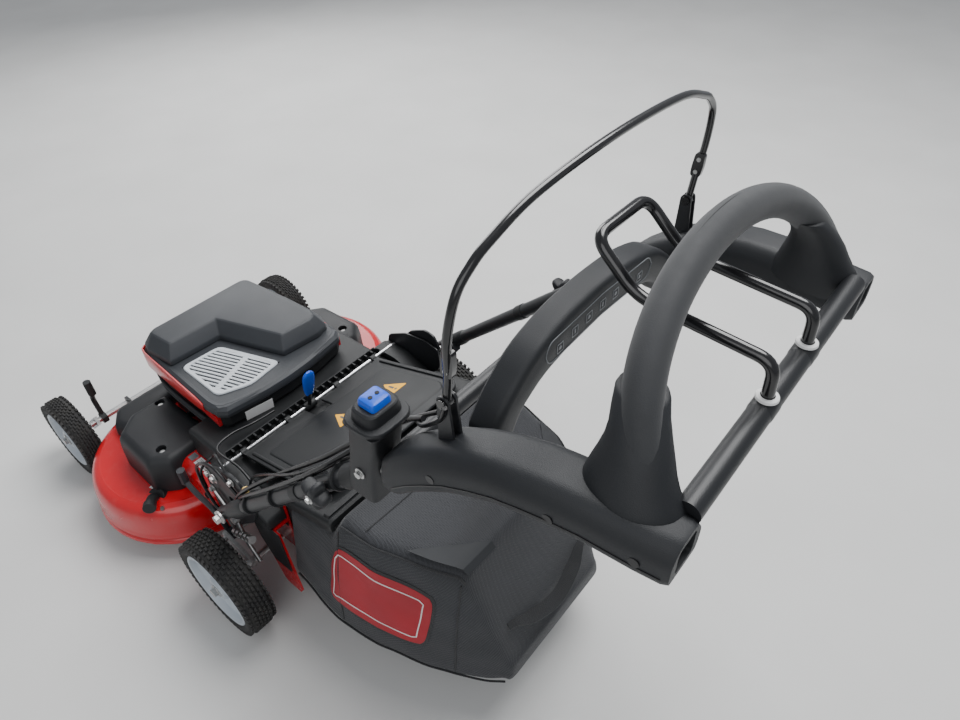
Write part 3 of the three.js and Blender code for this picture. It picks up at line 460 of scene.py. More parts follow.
def cylinder(bm, a, b, radius, sides=20, end=None):
    """A capped cylinder or cone in bm between two row-frame points; radii in mm."""
    axis = (b - a).normalized()
    side = axis.orthogonal().normalized()
    up = axis.cross(side)
    rings = []
    for p, r in ((a, radius), (b, radius if end is None else end)):
        rings.append([p + (side * u + up * w) * r * MM for u, w in circle(sides)])
    skin(bm, rings)


def tube_path(points, bend, step=7.0):
    """Points along a polyline whose corners are rounded, about step mm apart in the bends."""
    path = [Vector(points[0])]
    for i in range(1, len(points) - 1):
        p = Vector(points[i])
        a, b = Vector(points[i - 1]) - p, Vector(points[i + 1]) - p
        r = bend[i] if isinstance(bend, (list, tuple)) else bend
        reach = min(r, a.length * 0.49, b.length * 0.49)
        start, end = p + a.normalized() * reach, p + b.normalized() * reach
        count = max(4, int(reach * 1.6 / step))
        for k in range(count + 1):
            t = k / count
            path.append(start * (1 - t) ** 2 + p * 2 * t * (1 - t) + end * t ** 2)
    path.append(Vector(points[-1]))
    return path


def smooth_path(points, per=8):
    """Catmull-Rom curve through layout points."""
    p = [Vector(q) for q in points]
    p = [p[0] * 2 - p[1], *p, p[-1] * 2 - p[-2]]
    path = []
    for i in range(1, len(p) - 2):
        for k in range(per):
            t = k / per
            a, b, c, d = p[i - 1:i + 3]
            path.append(0.5 * ((2 * b) + (c - a) * t + (2 * a - 5 * b + 4 * c - d) * t ** 2
                               + (3 * b - a - 3 * c + d) * t ** 3))
    path.append(p[-2])
    return path


def sweep(bm, path, radius, sides=20, section=None):
    """Sweeps a round (or given) section along layout points; radius may be a function of 0..1."""
    pts = [at(*p) for p in path]
    lengths = [0.0]
    for a, b in zip(pts, pts[1:]):
        lengths.append(lengths[-1] + (b - a).length)
    tangent = (pts[1] - pts[0]).normalized()
    side = tangent.orthogonal().normalized()
    if abs(tangent.z) < 0.95:
        side = tangent.cross(Vector((0, 0, 1))).normalized()
    rings = []
    for i, p in enumerate(pts):
        new = (pts[min(i + 1, len(pts) - 1)] - pts[max(i - 1, 0)]).normalized()
        side = (tangent.rotation_difference(new) @ side).normalized()
        tangent = new
        up = tangent.cross(side)
        r = radius(lengths[i] / lengths[-1]) if callable(radius) else radius
        shape = section or circle(sides)
        rings.append([p + (side * u + up * w) * r * MM for u, w in shape])
    skin(bm, rings)


def tube_piece(name, path, radius, material, body, replaces=(), sides=20, **more):
    bm = bmesh.new()
    sweep(bm, path, radius, sides)
    return finish_piece(name, bm, material, body, replaces, **more)


def turned(bm, section, centre, axis, sides=64):
    """Solid of revolution: section is (distance along axis, radius) in mm about a layout centre."""
    axis = Vector(axis)
    side = axis.orthogonal().normalized()
    up = axis.cross(side)
    origin = at(*centre)
    rings = []
    for i in range(sides):
        a = TAU * i / sides
        out = side * math.cos(a) + up * math.sin(a)
        rings.append([origin + (axis * d + out * r) * MM for d, r in section])
    skin(bm, rings, closed=True)


def strap_section(width, thickness):
    """Flat section for sweep with radius 1."""
    w, t = width / 2, thickness / 2
    return [(-w, -t), (w, -t), (w, t), (-w, t)]


def bolt(bm, place, axis, radius, height, sides=6):
    """Hex or round head standing on a face, with its washer."""
    a = at(*place)
    d = Vector(axis).normalized()
    cylinder(bm, a, a + d * height * 0.3 * MM, radius * 1.5, 24)
    cylinder(bm, a + d * height * 0.3 * MM, a + d * height * MM, radius, sides)


def mirrored(half):
    """Closes a left-hand outline (x, y) with its mirror image."""
    return list(half) + [(-x, y) for x, y in reversed(half) if abs(x) > 1e-6]


def block_piece(name, outline, layers, material, body, replaces=(), radius=8, steps=4, **more):
    """A solid of stacked plan outlines: layers are (z, inset), each rounded after it is inset."""
    bm = bmesh.new()
    skin(bm, [plan(rounded(inset(outline, d), radius, steps), z) for z, d in layers])
    return finish_piece(name, bm, material, body, replaces, **more)


def loose(name, build, material, body, replaces=(), **more):
    """A piece made by build(bm)."""
    bm = bmesh.new()
    build(bm)
    return finish_piece(name, bm, material, body, replaces, **more)


def box_in(bm, centre, size, turn=None, round_top=0.0):
    """A small box in bm about a layout centre; turn is an optional 3x3 matrix."""
    hx, hy, hz = (s / 2 * MM for s in size)
    c = at(*centre)
    rings = []
    for z in (-hz, hz):
        k = 1 - round_top if z > 0 else 1
        ring = [Vector((x * hx * k, y * hy * k, z)) for x, y in ((-1, -1), (1, -1), (1, 1), (-1, 1))]
        rings.append([c + (turn @ p if turn else p) for p in ring])
    skin(bm, rings)


# ------------------------------------------------------------------ deck
LOBE = {"x": 184, "y": -363, "radius": 208}
CHUTE_HALF, PAN_REAR = 205, -150


def pan(d):
    arc = [math.radians(a) for a in range(-112, 59, 5)]
    r = LOBE["radius"] - d
    half = [(LOBE["x"] + r * math.cos(a), LOBE["y"] + r * math.sin(a)) for a in arc]
    return mirrored(half + [(CHUTE_HALF, PAN_REAR - d)])


def make_deck():
    inner = [(146.5, 38), (138, 19), (116, 9), (62, 5), (56, 0), (50.5, -2)]
    lip = [(49.5, -3), (51, -4.8), (55, -5), (58.5, -3), (61, -0.9), (64, -1.1), (67, -3), (71, -3),
           (74, -1.1), (78, -0.5)]
    wall = [(100, 0.5), (116, 2), (127, 5), (136, 9), (142.5, 14), (147, 20.5), (149.6, 28), (150.5, 36)]
    loose("deck_skin", lambda bm: skin(bm, [plan(pan(d), z) for z, d in inner + lip + wall]),
          "red", "chassis", slot="red_paint", sharp=40)
    block_section = [(112, 148), (112, 223), (233, 223), (250, 205), (253, 128)]
    for side, s in SIDES:
        def block(bm):
            ends = [(-264.5, 13), (-263.5, 8), (-261, 4), (-256, 1), (-250, 0), (-134, 0), (-128, 1),
                    (-123, 4), (-120.5, 8), (-119.5, 13)]
            skin(bm, [front(rounded(inset(block_section, d), [4, 12, 15, 12, 4], 5), y, s) for y, d in ends])
        loose(f"raised_block_{side}", block, "red", "chassis", slot="red_paint")
        loose(f"rating_label_{side}", lambda bm: box_in(bm, (s * 220, -186, 223.3), (19, 54, 0.7)),
              "label_white", "chassis")

        def lines(bm):
            for k in range(5):
                box_in(bm, (s * (214.5 + k * 2.8), -186 - k % 2 * 3, 223.8), (0.8, 44 - k % 3 * 9, 0.3))
            box_in(bm, (s * 220, -228, 223.3), (17, 16, 0.6))
        loose(f"rating_lines_{side}", lines, "label_grey", "chassis")

        def dimple(bm):
            cylinder(bm, at(s * 251, -150, 186), at(s * 252.4, -150, 186.4), 7, 20)
        loose(f"block_dimple_{side}", dimple, "black", "chassis")
    # washout port on the left shoulder
    tilt = Vector((0.62, 0.18, 0.76)).normalized()

    def port(bm):
        base = at(309, -268, 141)
        cylinder(bm, base - tilt * 6 * MM, base + tilt * 8 * MM, 25, 28, 22)
        sweep(bm, tube_path([(309, -268, 141), (320, -262, 158), (338, -238, 166)], 12), 11)
        sweep(bm, tube_path([(334, -244, 165), (342, -232, 167)], 2), 13.5)
    loose("washout_port", port, "black", "chassis", bevel=1.0)

    def port_bolts(bm):
        for x, y, z in ((300, -296, 143), (314, -232, 140)):
            bolt(bm, (x, y, z), tilt, 5.5, 10)
    loose("washout_bolts", port_bolts, "steel", "chassis", slot="steel")


def make_aprons():
    def apron(bm):
        out = rounded([(-208, 224), (-208, 292.5), (208, 292.5), (208, 224)], [1, 9, 9, 1], 5)
        ins = rounded([(205.4, 224), (205.4, 290.2), (-205.4, 290.2), (-205.4, 224)], [1, 7, 7, 1], 5)
        skin(bm, [front(out + ins, y) for y in (-231, -229, 70)])
    loose("chute_apron", apron, "black", "chassis", bevel=0.6)
    for side, s in SIDES:
        def cheek(bm):
            outline = [(-118, 226), (-118, 292), (-96, 306), (-40, 306), (20, 286), (72, 276), (72, 247),
                       (-30, 226)]
            skin(bm, [profile(rounded(inset(outline, d), 7, 4), s * x)
                      for x, d in ((206, 0), (242, 0), (244.5, 1), (245.8, 3))])
        skirt = rounded([(10, 250), (14, 190), (44, 132), (98, 132), (92, 250)], 8, 3)
        plate_x(f"skirt_cover_{side}", skirt, *sorted((s * 240.3, s * 242.6)), "black", "chassis", bevel=0.6)
        loose(f"hinge_cheek_{side}", cheek, "black", "chassis", bevel=0.8)


def make_covers():
    cover_plan = [(150, -437), (244, -441), (299, -399), (304, -272), (266, -236), (150, -236)]
    layers = [(150.6, 1), (152, 0), (205, 2), (226, 5), (235, 10), (239.5, 16), (241, 24)]
    for side, s in SIDES:
        outline = [(s * x, y) for x, y in cover_plan]
        cover = block_piece(f"spindle_cover_{side}_skin", outline, layers, "cover", "chassis",
                            [f"spindle_cover_{side}"], radius=7, slot="black_plastic", sharp=18)
        screws = [(s * 256, -283), (s * 180, -412)]
        drill(cover, [(at(x, y, 229), at(x, y, 260), 11) for x, y in screws])
        heads = [(at(x, y, 229), at(x, y, 233)) for x, y in screws]
        loose(f"cover_screws_{side}", lambda bm: [cylinder(bm, *ends, 6, 6) for ends in heads], "steel",
              "chassis")
    front_plan = mirrored([(110, -546), (238, -546), (269, -500), (257, -451), (110, -486)])
    layers = [(150.6, 1), (152, 0), (172, 2), (181, 6), (186, 12), (188.5, 20)]
    block_piece("front_cover_skin", front_plan, layers, "cover", "chassis", ["front_cover"], radius=12,
                slot="black_plastic")


# ------------------------------------------------------------------ motor housing
RIM = mirrored([(0, -481), (118, -481), (147, -471), (153, -440), (166, -204), (161, -170), (118, -152),
                (60, -141), (0, -138)])
LID = [(-116, -474), (118, -474), (143, -463), (150, -440), (143, -358), (25, -352), (-29, -192),
       (-118, -182), (-150, -192), (-163, -222), (-160, -300), (-147, -450), (-134, -467)]
VENT = [(133, -339), (40, -333), (-11, -185), (72, -175), (137, -203)]


def clip_line(outline, p, d):
    """The two ends of the line p + t d inside an outline."""
    hits = []
    for i in range(len(outline)):
        a, b = Vector(outline[i - 1]), Vector(outline[i])
        e = b - a
        k = d.x * e.y - d.y * e.x
        if abs(k) < 1e-9:
            continue
        w = a - p
        t = (w.x * e.y - w.y * e.x) / k
        u = (w.x * d.y - w.y * d.x) / k
        if 0 <= u <= 1:
            hits.append(t)
    return (p + d * min(hits), p + d * max(hits)) if len(hits) > 1 else None


def ring_piece(name, outline, width, layers, material, body, radius, replaces=(), **more):
    """A frame round an outline: layers are (z, inset) for its outer face; the inner one is inset by width."""
    bm = bmesh.new()
    loop = layers + [(layers[-1][0] - 0.5, width), (layers[0][0], width)]
    skin(bm, [plan(rounded(inset(outline, d), radius, 5), z) for z, d in loop], closed=True)
    return finish_piece(name, bm, material, body, replaces, **more)


def make_housing():
    ring_piece("housing_bezel", RIM, 15, [(329.5, 6), (330, 1), (333, -1), (343, -1), (348.5, 1.5),
                                          (352.6, 8)], "grey", "chassis", 16, slot="grey_plastic")
    ring_piece("tub_seam", RIM, 14, [(326.5, 5), (326.6, 3), (329.4, 3)], "black", "chassis", 16)
    cavity = [(388, 30), (383, 24), (360, 9), (353.4, 5)]
    outer = [(353.4, 1.6), (354.4, 0.4), (363, 1), (366, 2), (389.5, 18), (391.8, 20.5), (393.4, 24),
             (394, 29)]
    block_piece("lid_shell", LID, cavity + outer, "grey", "battery_lid", ["battery_lid"], radius=4,
                sharp=14, slot="grey_plastic")
    ring_piece("vent_frame", VENT, 8.5, [(350.5, 0), (353.5, 0), (355.2, 1.6)], "silver", "chassis", 15,
               ["vent_grille"], slot="silver_plastic")
    block_piece("vent_bed", inset(VENT, 4), [(348, 0), (351.2, 0)], "gloss_black", "chassis", radius=10)
    run = Vector((-54, 156)).normalized()
    cross = Vector((run.y, -run.x))
    inside = inset(VENT, 7.5)
    middle = Vector((64, -250))

    def slats(bm):
        for k in range(-9, 10):
            line = clip_line(inside, middle + cross * (k * 9.6), run)
            if not line:
                continue
            a, b = line
            path = [(a.x, a.y, 352.3), ((a.x + b.x) / 2, (a.y + b.y) / 2, 353.4), (b.x, b.y, 352.3)]
            sweep(bm, path, 1.0, section=[(-2.6, -1.6), (2.6, -1.6), (2.6, 0.9), (1.6, 1.7), (-1.6, 1.7),
                                          (-2.6, 0.9)])
        line = clip_line(inside, middle + run * 8, cross)
        path = [(line[0].x, line[0].y, 353.0), (line[1].x, line[1].y, 353.0)]
        sweep(bm, path, 1.0, section=[(-6, -1.6), (6, -1.6), (6, 1.5), (5, 2.2), (-5, 2.2), (-6, 1.5)])
    loose("vent_slats", slats, "silver", "chassis", slot="silver_plastic")
    # Painted shade: a gloss black box fills the latch slit between lid and bezel to stand in for the dark
    # opening.
    loose("latch_slit_painted_shade", lambda bm: box_in(bm, (-92, -176, 349), (52, 9, 5)), "gloss_black", "chassis")
    loose("tub_label", lambda bm: box_in(bm, (84, -149, 306), (62, 1.0, 26),
                                         Matrix.Rotation(math.radians(-6), 3, "X")
                                         @ Matrix.Rotation(math.radians(-10), 3, "Z")), "label_white",
          "chassis")
    for side, s in SIDES:
        def accent(bm):
            run = [(128, -478.5), (141, -475), (149, -468), (152.5, -455), (154, -440), (158, -372),
                   (162, -304), (165, -238), (166.5, -214)]
            rings = []
            for k, (x, y) in enumerate(run):
                t = k / (len(run) - 1)
                low, high = 305 + 20 * t ** 3, 350.5 - 6 * max(0, t - 0.8) / 0.2
                d = 2.6 if 0 < k < len(run) - 1 else 1.2
                n = Vector((x - 40, (y + 320) * 0.35)).normalized()
                section = ((-1, low), (d - 0.8, low), (d, low + 1.5), (d + 0.4, (low + high) / 2),
                           (d, high - 1.5), (d - 0.8, high), (-1, high))
                rings.append([at(s * (x + n.x * o), y + n.y * o, z) for o, z in section])
            skin(bm, rings)
        loose(f"accent_strip_{side}", accent, "red_plastic", "chassis", sharp=50)
    for k in range(2):
        path = [(148, -440 + 6 * k, 300 - 12 * k), (160, -380, 292 - 12 * k), (163, -250, 288 - 12 * k),
                (150, -190, 270 - 12 * k), (140, -170, 236)]
        tube_piece(f"battery_lead_{k + 1}", smooth_path(path), 4.2, "cover", "chassis", sides=12)


# ------------------------------------------------------------------ wheels
def make_wheel(name, node_tyre, node_rim, s):
    low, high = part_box(node_tyre)
    centre = (low + high) / 2
    x, y, z = centre.x / MM, (centre.y - AXLE_Y) / MM, centre.z / MM
    radius = (high.z - low.z) / 2 / MM
    h = (high.x - low.x) / 2 / MM
    rim_low, rim_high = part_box(node_rim)
    rim = (rim_high.z - rim_low.z) / 2 / MM
    crown = radius - 3.4
    half = [(-h + 9, rim + 0.5), (-h + 4, rim + 3), (-h + 1, rim + 9), (-h + 0.3, crown - 15),
            (-h + 2, crown - 8), (-h + 6, crown - 3), (-h + 13, crown - 0.6)]
    carcass = half + [(0, crown)] + [(-a, r) for a, r in reversed(half)]

    def tyre(bm):
        turned(bm, carcass, (x, y, z), (1, 0, 0), 96)
    loose(f"{name}_tyre_skin", tyre, "tyre", name, [node_tyre], slot="tyre", sharp=50)

    def tread(bm):
        count = round(TAU * radius / 13.2)
        rows = 5
        pitch = (2 * h - 22) / rows
        for row in range(rows):
            across = -h + 11 + pitch * (row + 0.5)
            lift = 0.0 if abs(across) < h * 0.6 else -1.2
            for i in range(count):
                a = TAU * (i + 0.5 * (row % 2)) / count
                spin = Matrix.Rotation(a, 3, "X")
                out = spin @ Vector((0, 0, crown + 0.7 + lift))
                box_in(bm, (x + across, y + out.y, z + out.z), (pitch - 2.6, 8.6, 5.2), spin, 0.14)
        for edge in (-1, 1):
            for i in range(count):
                a = TAU * (i + 0.25) / count
                spin = Matrix.Rotation(a, 3, "X")
                out = spin @ Vector((0, 0, crown - 5.5))
                box_in(bm, (x + edge * (h - 3.6), y + out.y, z + out.z), (5.2, 7.6, 12), spin, 0.1)
    loose(f"{name}_tread", tread, "tyre", name, slot="tyre", sharp=20)

    def dish(bm):
        f = [(h - 3, rim + 2.5), (h - 1.5, rim + 0.5), (h - 2.5, rim - 3), (h - 5, rim - 5),
             (h - 15, rim - 8), (h - 19, rim - 13), (h - 21, rim * 0.66), (h - 19.5, rim * 0.62),
             (h - 19.5, rim * 0.52), (h - 21, rim * 0.48), (h - 18, 27), (h - 8, 24), (h - 6, 22),
             (h - 6, 7)]
        b = [(-h + 6, 7), (-h + 6, 20), (-h + 12, 24), (h - 27, 29), (h - 29, rim * 0.6),
             (h - 26, rim - 16), (-h + 6, rim - 8), (-h + 3, rim - 4), (-h + 2, rim + 0.5),
             (-h + 4, rim + 2.5)]
        turned(bm, [(s * d, r) for d, r in f + b], (x, y, z), (1, 0, 0), 96)
    loose(f"{name}_rim_skin", dish, "rim", name, [node_rim], slot="rim_plastic", sharp=34)

    def ribs(bm):
        for i in range(10):
            spin = Matrix.Rotation(TAU * i / 10, 3, "X")
            out = spin @ Vector((0, 0, (rim * 0.52 + 24) / 2))
            box_in(bm, (x + s * (h - 19), y + out.y, z + out.z), (5, 2.6, rim * 0.52 - 20), spin)
    loose(f"{name}_rim_ribs", ribs, "rim", name, bevel=0.5, slot="rim_plastic")

    def nut(bm):
        bolt(bm, (x + s * (h - 6.5), y, z), (s, 0, 0), 9.5, 11)
    loose(f"{name}_nut", nut, "steel", name, bevel=0.6, slot="steel")


# ------------------------------------------------------------------ rear door and lever
DOOR_Y, DOOR_Z, DOOR_RISE = -79, 304, math.atan(0.29)
PADDLE = [(36, 8, 4.6), (42, 10, 5.6), (56, 12.5, 6.4), (74, 14, 6.6), (88, 14, 6.2), (96, 12.4, 5.6),
          (101, 9.5, 4.6), (104.5, 5, 2.6)]


def on_door(x, u, w):
    c, s = math.cos(DOOR_RISE), math.sin(DOOR_RISE)
    return at(x, DOOR_Y + u * c - w * s, DOOR_Z + u * s + w * c)


def door_block(bm, outline, layers, radius=8):
    skin(bm, [[on_door(x, u, w) for x, u in rounded(inset(outline, d), radius, 4)] for w, d in layers])


def make_door():
    plate = [(-182, 12), (-13, 12), (-13, 53), (29, 53), (29, 12), (182, 12), (188, 246), (162, 276),
             (-162, 276), (-188, 246)]

    def flap(bm):
        door_block(bm, plate, [(-3, 1.5), (-1.5, 0), (1, 0), (2.6, 1), (3.2, 3)], [8, 2, 4, 4, 2, 8, 12,
                12, 12, 12])
        door_block(bm, [(-158, 62), (158, 62), (163, 232), (148, 254), (-148, 254), (-163, 232)],
                   [(2.8, 0), (4.6, 1.5), (5.4, 4)], 10)
        for s in (1, -1):
            door_block(bm, [(s * 168, 30), (s * 176, 30), (s * 181, 244), (s * 173, 244)],
                       [(2.8, 0), (6.5, 1), (7.2, 2.4)], 3)
        for x0, x1 in ((-182, -170), (-72, -60), (60, 72), (170, 182)):
            cylinder(bm, on_door(x0, 0, 0), on_door(x1, 0, 0), 8.2, 24)
            door_block(bm, [(x0, 2), (x1, 2), (x1, 20), (x0, 20)], [(-3, 0), (3, 0)], 1)
    loose("door_skin", flap, "black", "rear_door", ["rear_door"], slot="black_plastic")

    for k, (x, u) in enumerate(((14, 122), (-104, 142))):
        def triangle(bm):
            door_block(bm, [(x - 25, u + 24), (x, u - 24), (x + 25, u + 24)][::-1], [(5.2, 0), (5.9, 0.2)],
                       4)
        loose(f"warning_triangle_{k + 1}", triangle, "yellow", "rear_door")

        def mark(bm):
            thin = [(5.8, 0), (6.1, 0)]
            door_block(bm, [(x - 2, u - 6), (x + 2, u - 6), (x + 3, u + 9), (x - 3, u + 9)], thin, 1)
            door_block(bm, [(x - 3, u + 13), (x + 3, u + 13), (x + 3, u + 18), (x - 3, u + 18)], thin, 2)
        loose(f"warning_mark_{k + 1}", mark, "gloss_black", "rear_door")

    def rail(bm):
        box_in(bm, (0, -96, 291), (404, 16, 6))
        for i in range(22):
            box_in(bm, (-189 + i * 18, -98, 300), (5, 12, 14), None, 0.15)
        box_in(bm, (0, -104, 300), (404, 3, 16))
    loose("hinge_rail", rail, "black", "chassis", bevel=0.6)

    def paddle(bm):
        rings = []
        squarish = [[math.copysign(abs(part) ** 0.7, part) for part in way] for way in circle(24)]
        for z, hx, hy in PADDLE:
            rings.append([at(8 + hx * u, DOOR_Y + z * 0.22 + hy * v, DOOR_Z + z) for u, v in squarish])
        skin(bm, rings)
    loose("lever_paddle", paddle, "blue", "blue_lever", ["blue_lever"], slot="blue_plastic")

    def stem(bm):
        cylinder(bm, at(-6, DOOR_Y, DOOR_Z), at(22, DOOR_Y, DOOR_Z), 8.8, 24)
        sweep(bm, [(8, DOOR_Y + 1, DOOR_Z + 4), (8, DOOR_Y + 5, DOOR_Z + 22),
                   (8, DOOR_Y + 9, DOOR_Z + 40)], 1.0, section=strap_section(13, 7))
    loose("lever_stem", stem, "black", "blue_lever", bevel=0.8)


# ------------------------------------------------------------------ grass bag
STATIONS = [(97, 232, 112, 204, 302), (228, 246, 104, 205, 346), (246, 246, 104, 204, 390),
            (330, 234, 100, 198, 396), (425, 206, 100, 172, 396), (470, 189, 104, 150, 386),
            (524, 160, 108, 138, 240), (552, 142, 116, 132, 160)]


BAG_FRONT, BAG_REAR = STATIONS[0][0], STATIONS[-1][0]


def station(y):
    """Bottom half-width, bottom, top half-width and top of the bag at y, softened along y."""
    total = [0.0] * 4
    for k in range(-3, 4):
        q = min(max(y + k * 2.6, BAG_FRONT), BAG_REAR)
        for a, b in zip(STATIONS, STATIONS[1:]):
            if a[0] <= q <= b[0]:
                t = (q - a[0]) / (b[0] - a[0])
                total = [v + (a[i + 1] * (1 - t) + b[i + 1] * t) / 7 for i, v in enumerate(total)]
                break
    return total


def bag_point(y, x, z, lift=0.0):
    """Bulges and sags a point of the ideal bag section, plus a lift along x for side pieces."""
    bh, b, th, t = station(y)
    v = (z - (b + t) / 2) / max(1.0, (t - b) / 2)
    half = bh + (th - bh) * (v + 1) / 2
    u = x / half
    along = math.sin(math.pi * min(1, max(0, (y - BAG_FRONT) / (BAG_REAR - BAG_FRONT))))
    side = 6.5 * (1 - v * v) * abs(u) ** 6 * math.copysign(1, x) * along
    sag = 9 * (1 - u * u) * max(0, v) ** 6 * along * (1 if y > 250 else 0.3)
    belly = 6 * (1 - u * u) * max(0, -v) ** 6 * along
    crease = 1.5 * math.sin(y * 0.041 + z * 0.052) * math.sin(z * 0.031 - y * 0.017 + 0.8)
    return at(x + side + (crease + lift) * math.copysign(abs(u) ** 4, x), y, z - sag - belly)


def on_side(y, v, s=1, lift=0.0):
    """Point a share v up the bag's side at y."""
    bh, b, th, t = station(y)
    return bag_point(y, s * (bh + (th - bh) * v), b + (t - b) * v, lift)


def bag_ring(y, shrink=0.0):
    """The bag's outer skin at y as row frame points, shrunk by some millimetres for the inside."""
    bh, b, th, t = station(y)
    r = min(24, (t - b) / 3)
    corners = rounded([(bh - shrink, b + shrink), (th - shrink, t - shrink), (-th + shrink, t - shrink),
                       (-bh + shrink, b + shrink)], r, 5)
    dense = []
    for i, (x, z) in enumerate(corners):
        nx, nz = corners[(i + 1) % len(corners)]
        count = 12 if i % 6 == 5 else 1
        dense += [(x + (nx - x) * k / count, z + (nz - z) * k / count) for k in range(count)]
    return [bag_point(y, x, z) for x, z in dense]


def make_bag():
    ys = [BAG_FRONT + (BAG_REAR - BAG_FRONT) * i / 84 for i in range(85)]

    def shell(bm):
        inner = [bag_ring(y, 4) for y in reversed(ys[1:-3])]
        outer = [bag_ring(y) for y in ys]
        tail = [[p + Vector((0, dy * MM, 0)) for p in bag_ring(BAG_REAR, k)] for dy, k in ((3, 3), (5, 8))]
        skin(bm, inner + outer + tail)
    loose("bag_shell", shell, "cloth", "bag", ["bag_fabric"], slot="bag_cloth", sharp=60)

    def side_strip(bm, v, y0, y1, s, r=2.0):
        sweep(bm, [layout(on_side(y0 + (y1 - y0) * i / 60, v, s)) for i in range(61)], r, 8)

    def seams(bm):
        for s in (1, -1):
            for v, y0, y1 in ((0.045, 100, 548), (0.955, 250, 474)):
                side_strip(bm, v, y0, y1, s)
            for y in (470, 246):
                sweep(bm, [layout(on_side(y, k / 24, s, 0.4)) for k in range(2, 23)], 1.5, 8)
        half, top = station(300)[2:]
        across = [layout(bag_point(300, -half + 10 + (2 * half - 20) * k / 30, top)) for k in range(31)]
        sweep(bm, [(x, y, z + 0.3) for x, y, z in across], 1.4, 8)
    loose("bag_seams", seams, "binding", "bag", slot="bag_cloth")

    def patch_sheet(bm, corners, lift, n=14, drop=0.8):
        """A thin patch over the bag; corners are (y, v) pairs on its left side."""
        rows = []
        for layer in (lift - drop, lift):
            grid = []
            for i in range(n + 1):
                for j in range(n + 1):
                    p, q = 2 * i / n - 1, 2 * j / n - 1
                    a = 0.5 + 0.5 * p * math.sqrt(1 - 0.16 * q ** 6)
                    b = 0.5 + 0.5 * q * math.sqrt(1 - 0.16 * p ** 6)
                    y, v = ((c0 * (1 - a) + c1 * a) * (1 - b) + (c3 * (1 - a) + c2 * a) * b
                            for c0, c1, c2, c3 in zip(*corners))
                    grid.append(bm.verts.new(on_side(y, v, 1, layer)))
            rows.append(grid)
        m = n + 1
        for i in range(n):
            for j in range(n):
                q = (i * m + j, (i + 1) * m + j, (i + 1) * m + j + 1, i * m + j + 1)
                for grid in rows:
                    bm.faces.new([grid[k] for k in q])
        rim = [i * m for i in range(m)] + [n * m + j for j in range(1, m)]
        rim += [i * m + n for i in range(n - 1, -1, -1)] + list(range(n - 1, 0, -1))
        for a, b in zip(rim, rim[1:] + rim[:1]):
            bm.faces.new((rows[0][a], rows[0][b], rows[1][b], rows[1][a]))

    def patch_frame(bm, corners, lift):
        """A thin drawn line round a patch."""
        path = []
        for (y0, v0), (y1, v1) in zip(corners, corners[1:] + corners[:1]):
            for k in range(1, 20):
                point = on_side(y0 + (y1 - y0) * k / 20, v0 + (v1 - v0) * k / 20, 1, lift - 0.6)
                path.append(layout(point))
        sweep(bm, path + path[:1], 1.3, 6)

    loose("bag_label", lambda bm: patch_sheet(bm, [(214, 0.27), (418, 0.24), (436, 0.74), (228, 0.80)],
                                              1.8), "label_red", "bag", bevel=0.4)
    loose("bag_label_line", lambda bm: patch_frame(bm, [(226, 0.335), (404, 0.31), (418, 0.68),
                                                        (238, 0.735)], 2.3), "label_white", "bag")
    loose("bag_label_edge", lambda bm: patch_sheet(bm, [(210, 0.245), (422, 0.215), (441, 0.765),
                                                        (223, 0.825)], 1.2), "binding", "bag")
    for side, s in SIDES:
        def corner(bm):
            rows = []
            for lift in (0.2, 1.6):
                grid = []
                for a in range(13):
                    for b in range(13 - a):
                        y = 378 + 96 * (a + b) / 12
                        half, top = station(y)[2:]
                        x = half - 6 - 78 * b / 12 * (1 if y < 470 else 0.9)
                        p = bag_point(y, s * x, top)
                        grid.append(bm.verts.new(p + Vector((0, 0, (lift + 0.2) * MM))))
                rows.append(grid)

            def index(a, b):
                return sum(13 - k for k in range(a)) + b
            for grid in rows:
                for a in range(12):
                    for b in range(12 - a):
                        bm.faces.new((grid[index(a, b)], grid[index(a + 1, b)], grid[index(a, b + 1)]))
                        if a + b < 11:
                            bm.faces.new((grid[index(a + 1, b)], grid[index(a + 1, b + 1)],
                                          grid[index(a, b + 1)]))
            edge = [index(a, 0) for a in range(13)] + [index(12 - b, b) for b in range(1, 13)]
            edge += [index(0, b) for b in range(11, 0, -1)]
            for i, j in zip(edge, edge[1:] + edge[:1]):
                bm.faces.new((rows[0][i], rows[0][j], rows[1][j], rows[1][i]))
        loose(f"bag_corner_{side}", corner, "patch", "bag")

    strap = smooth_path([(-108, 523, 236), (-92, 529, 232), (-60, 543, 216), (0, 552, 206), (60, 543, 216),
                         (92, 529, 232), (108, 523, 236)])
    loose("bag_handle", lambda bm: sweep(bm, strap, 1.0, section=[(-12.5, -1.2), (0, -1.9), (12.5, -1.2),
            (12.5, 1.2), (0, 1.9), (-12.5, 1.2)]), "binding", "bag", ["bag_strap"], slot="bag_cloth")

    def hood(bm):
        rings = []
        for y, top, drop, half in ((84, 333, 3, 211), (85, 336, 22, 214), (222, 375, 26, 214),
                                   (227, 376.5, 26, 214), (231, 374, 24, 212), (232, 366, 16, 209)):
            out = rounded([(-half, top - drop), (-half, top), (half, top), (half, top - drop)],
                          [1, 13, 13, 1], 6)
            ins = rounded([(half - 4, top - drop), (half - 4, top - 4), (-half + 4, top - 4),
                           (-half + 4, top - drop)], [1, 10, 10, 1], 6)
            rings.append(front(out + ins, y))
        skin(bm, rings)
    loose("bag_hood_skin", hood, "black", "bag", ["bag_hood"], slot="black_plastic")
    ridge = [front(rounded([(-206, t), (206, t), (204, t + 3), (-204, t + 3)], 1.2, 3), y)
             for y, t in ((207, 371), (214, 373), (221, 375))]
    loose("hood_ridge", lambda bm: skin(bm, ridge), "black", "bag")


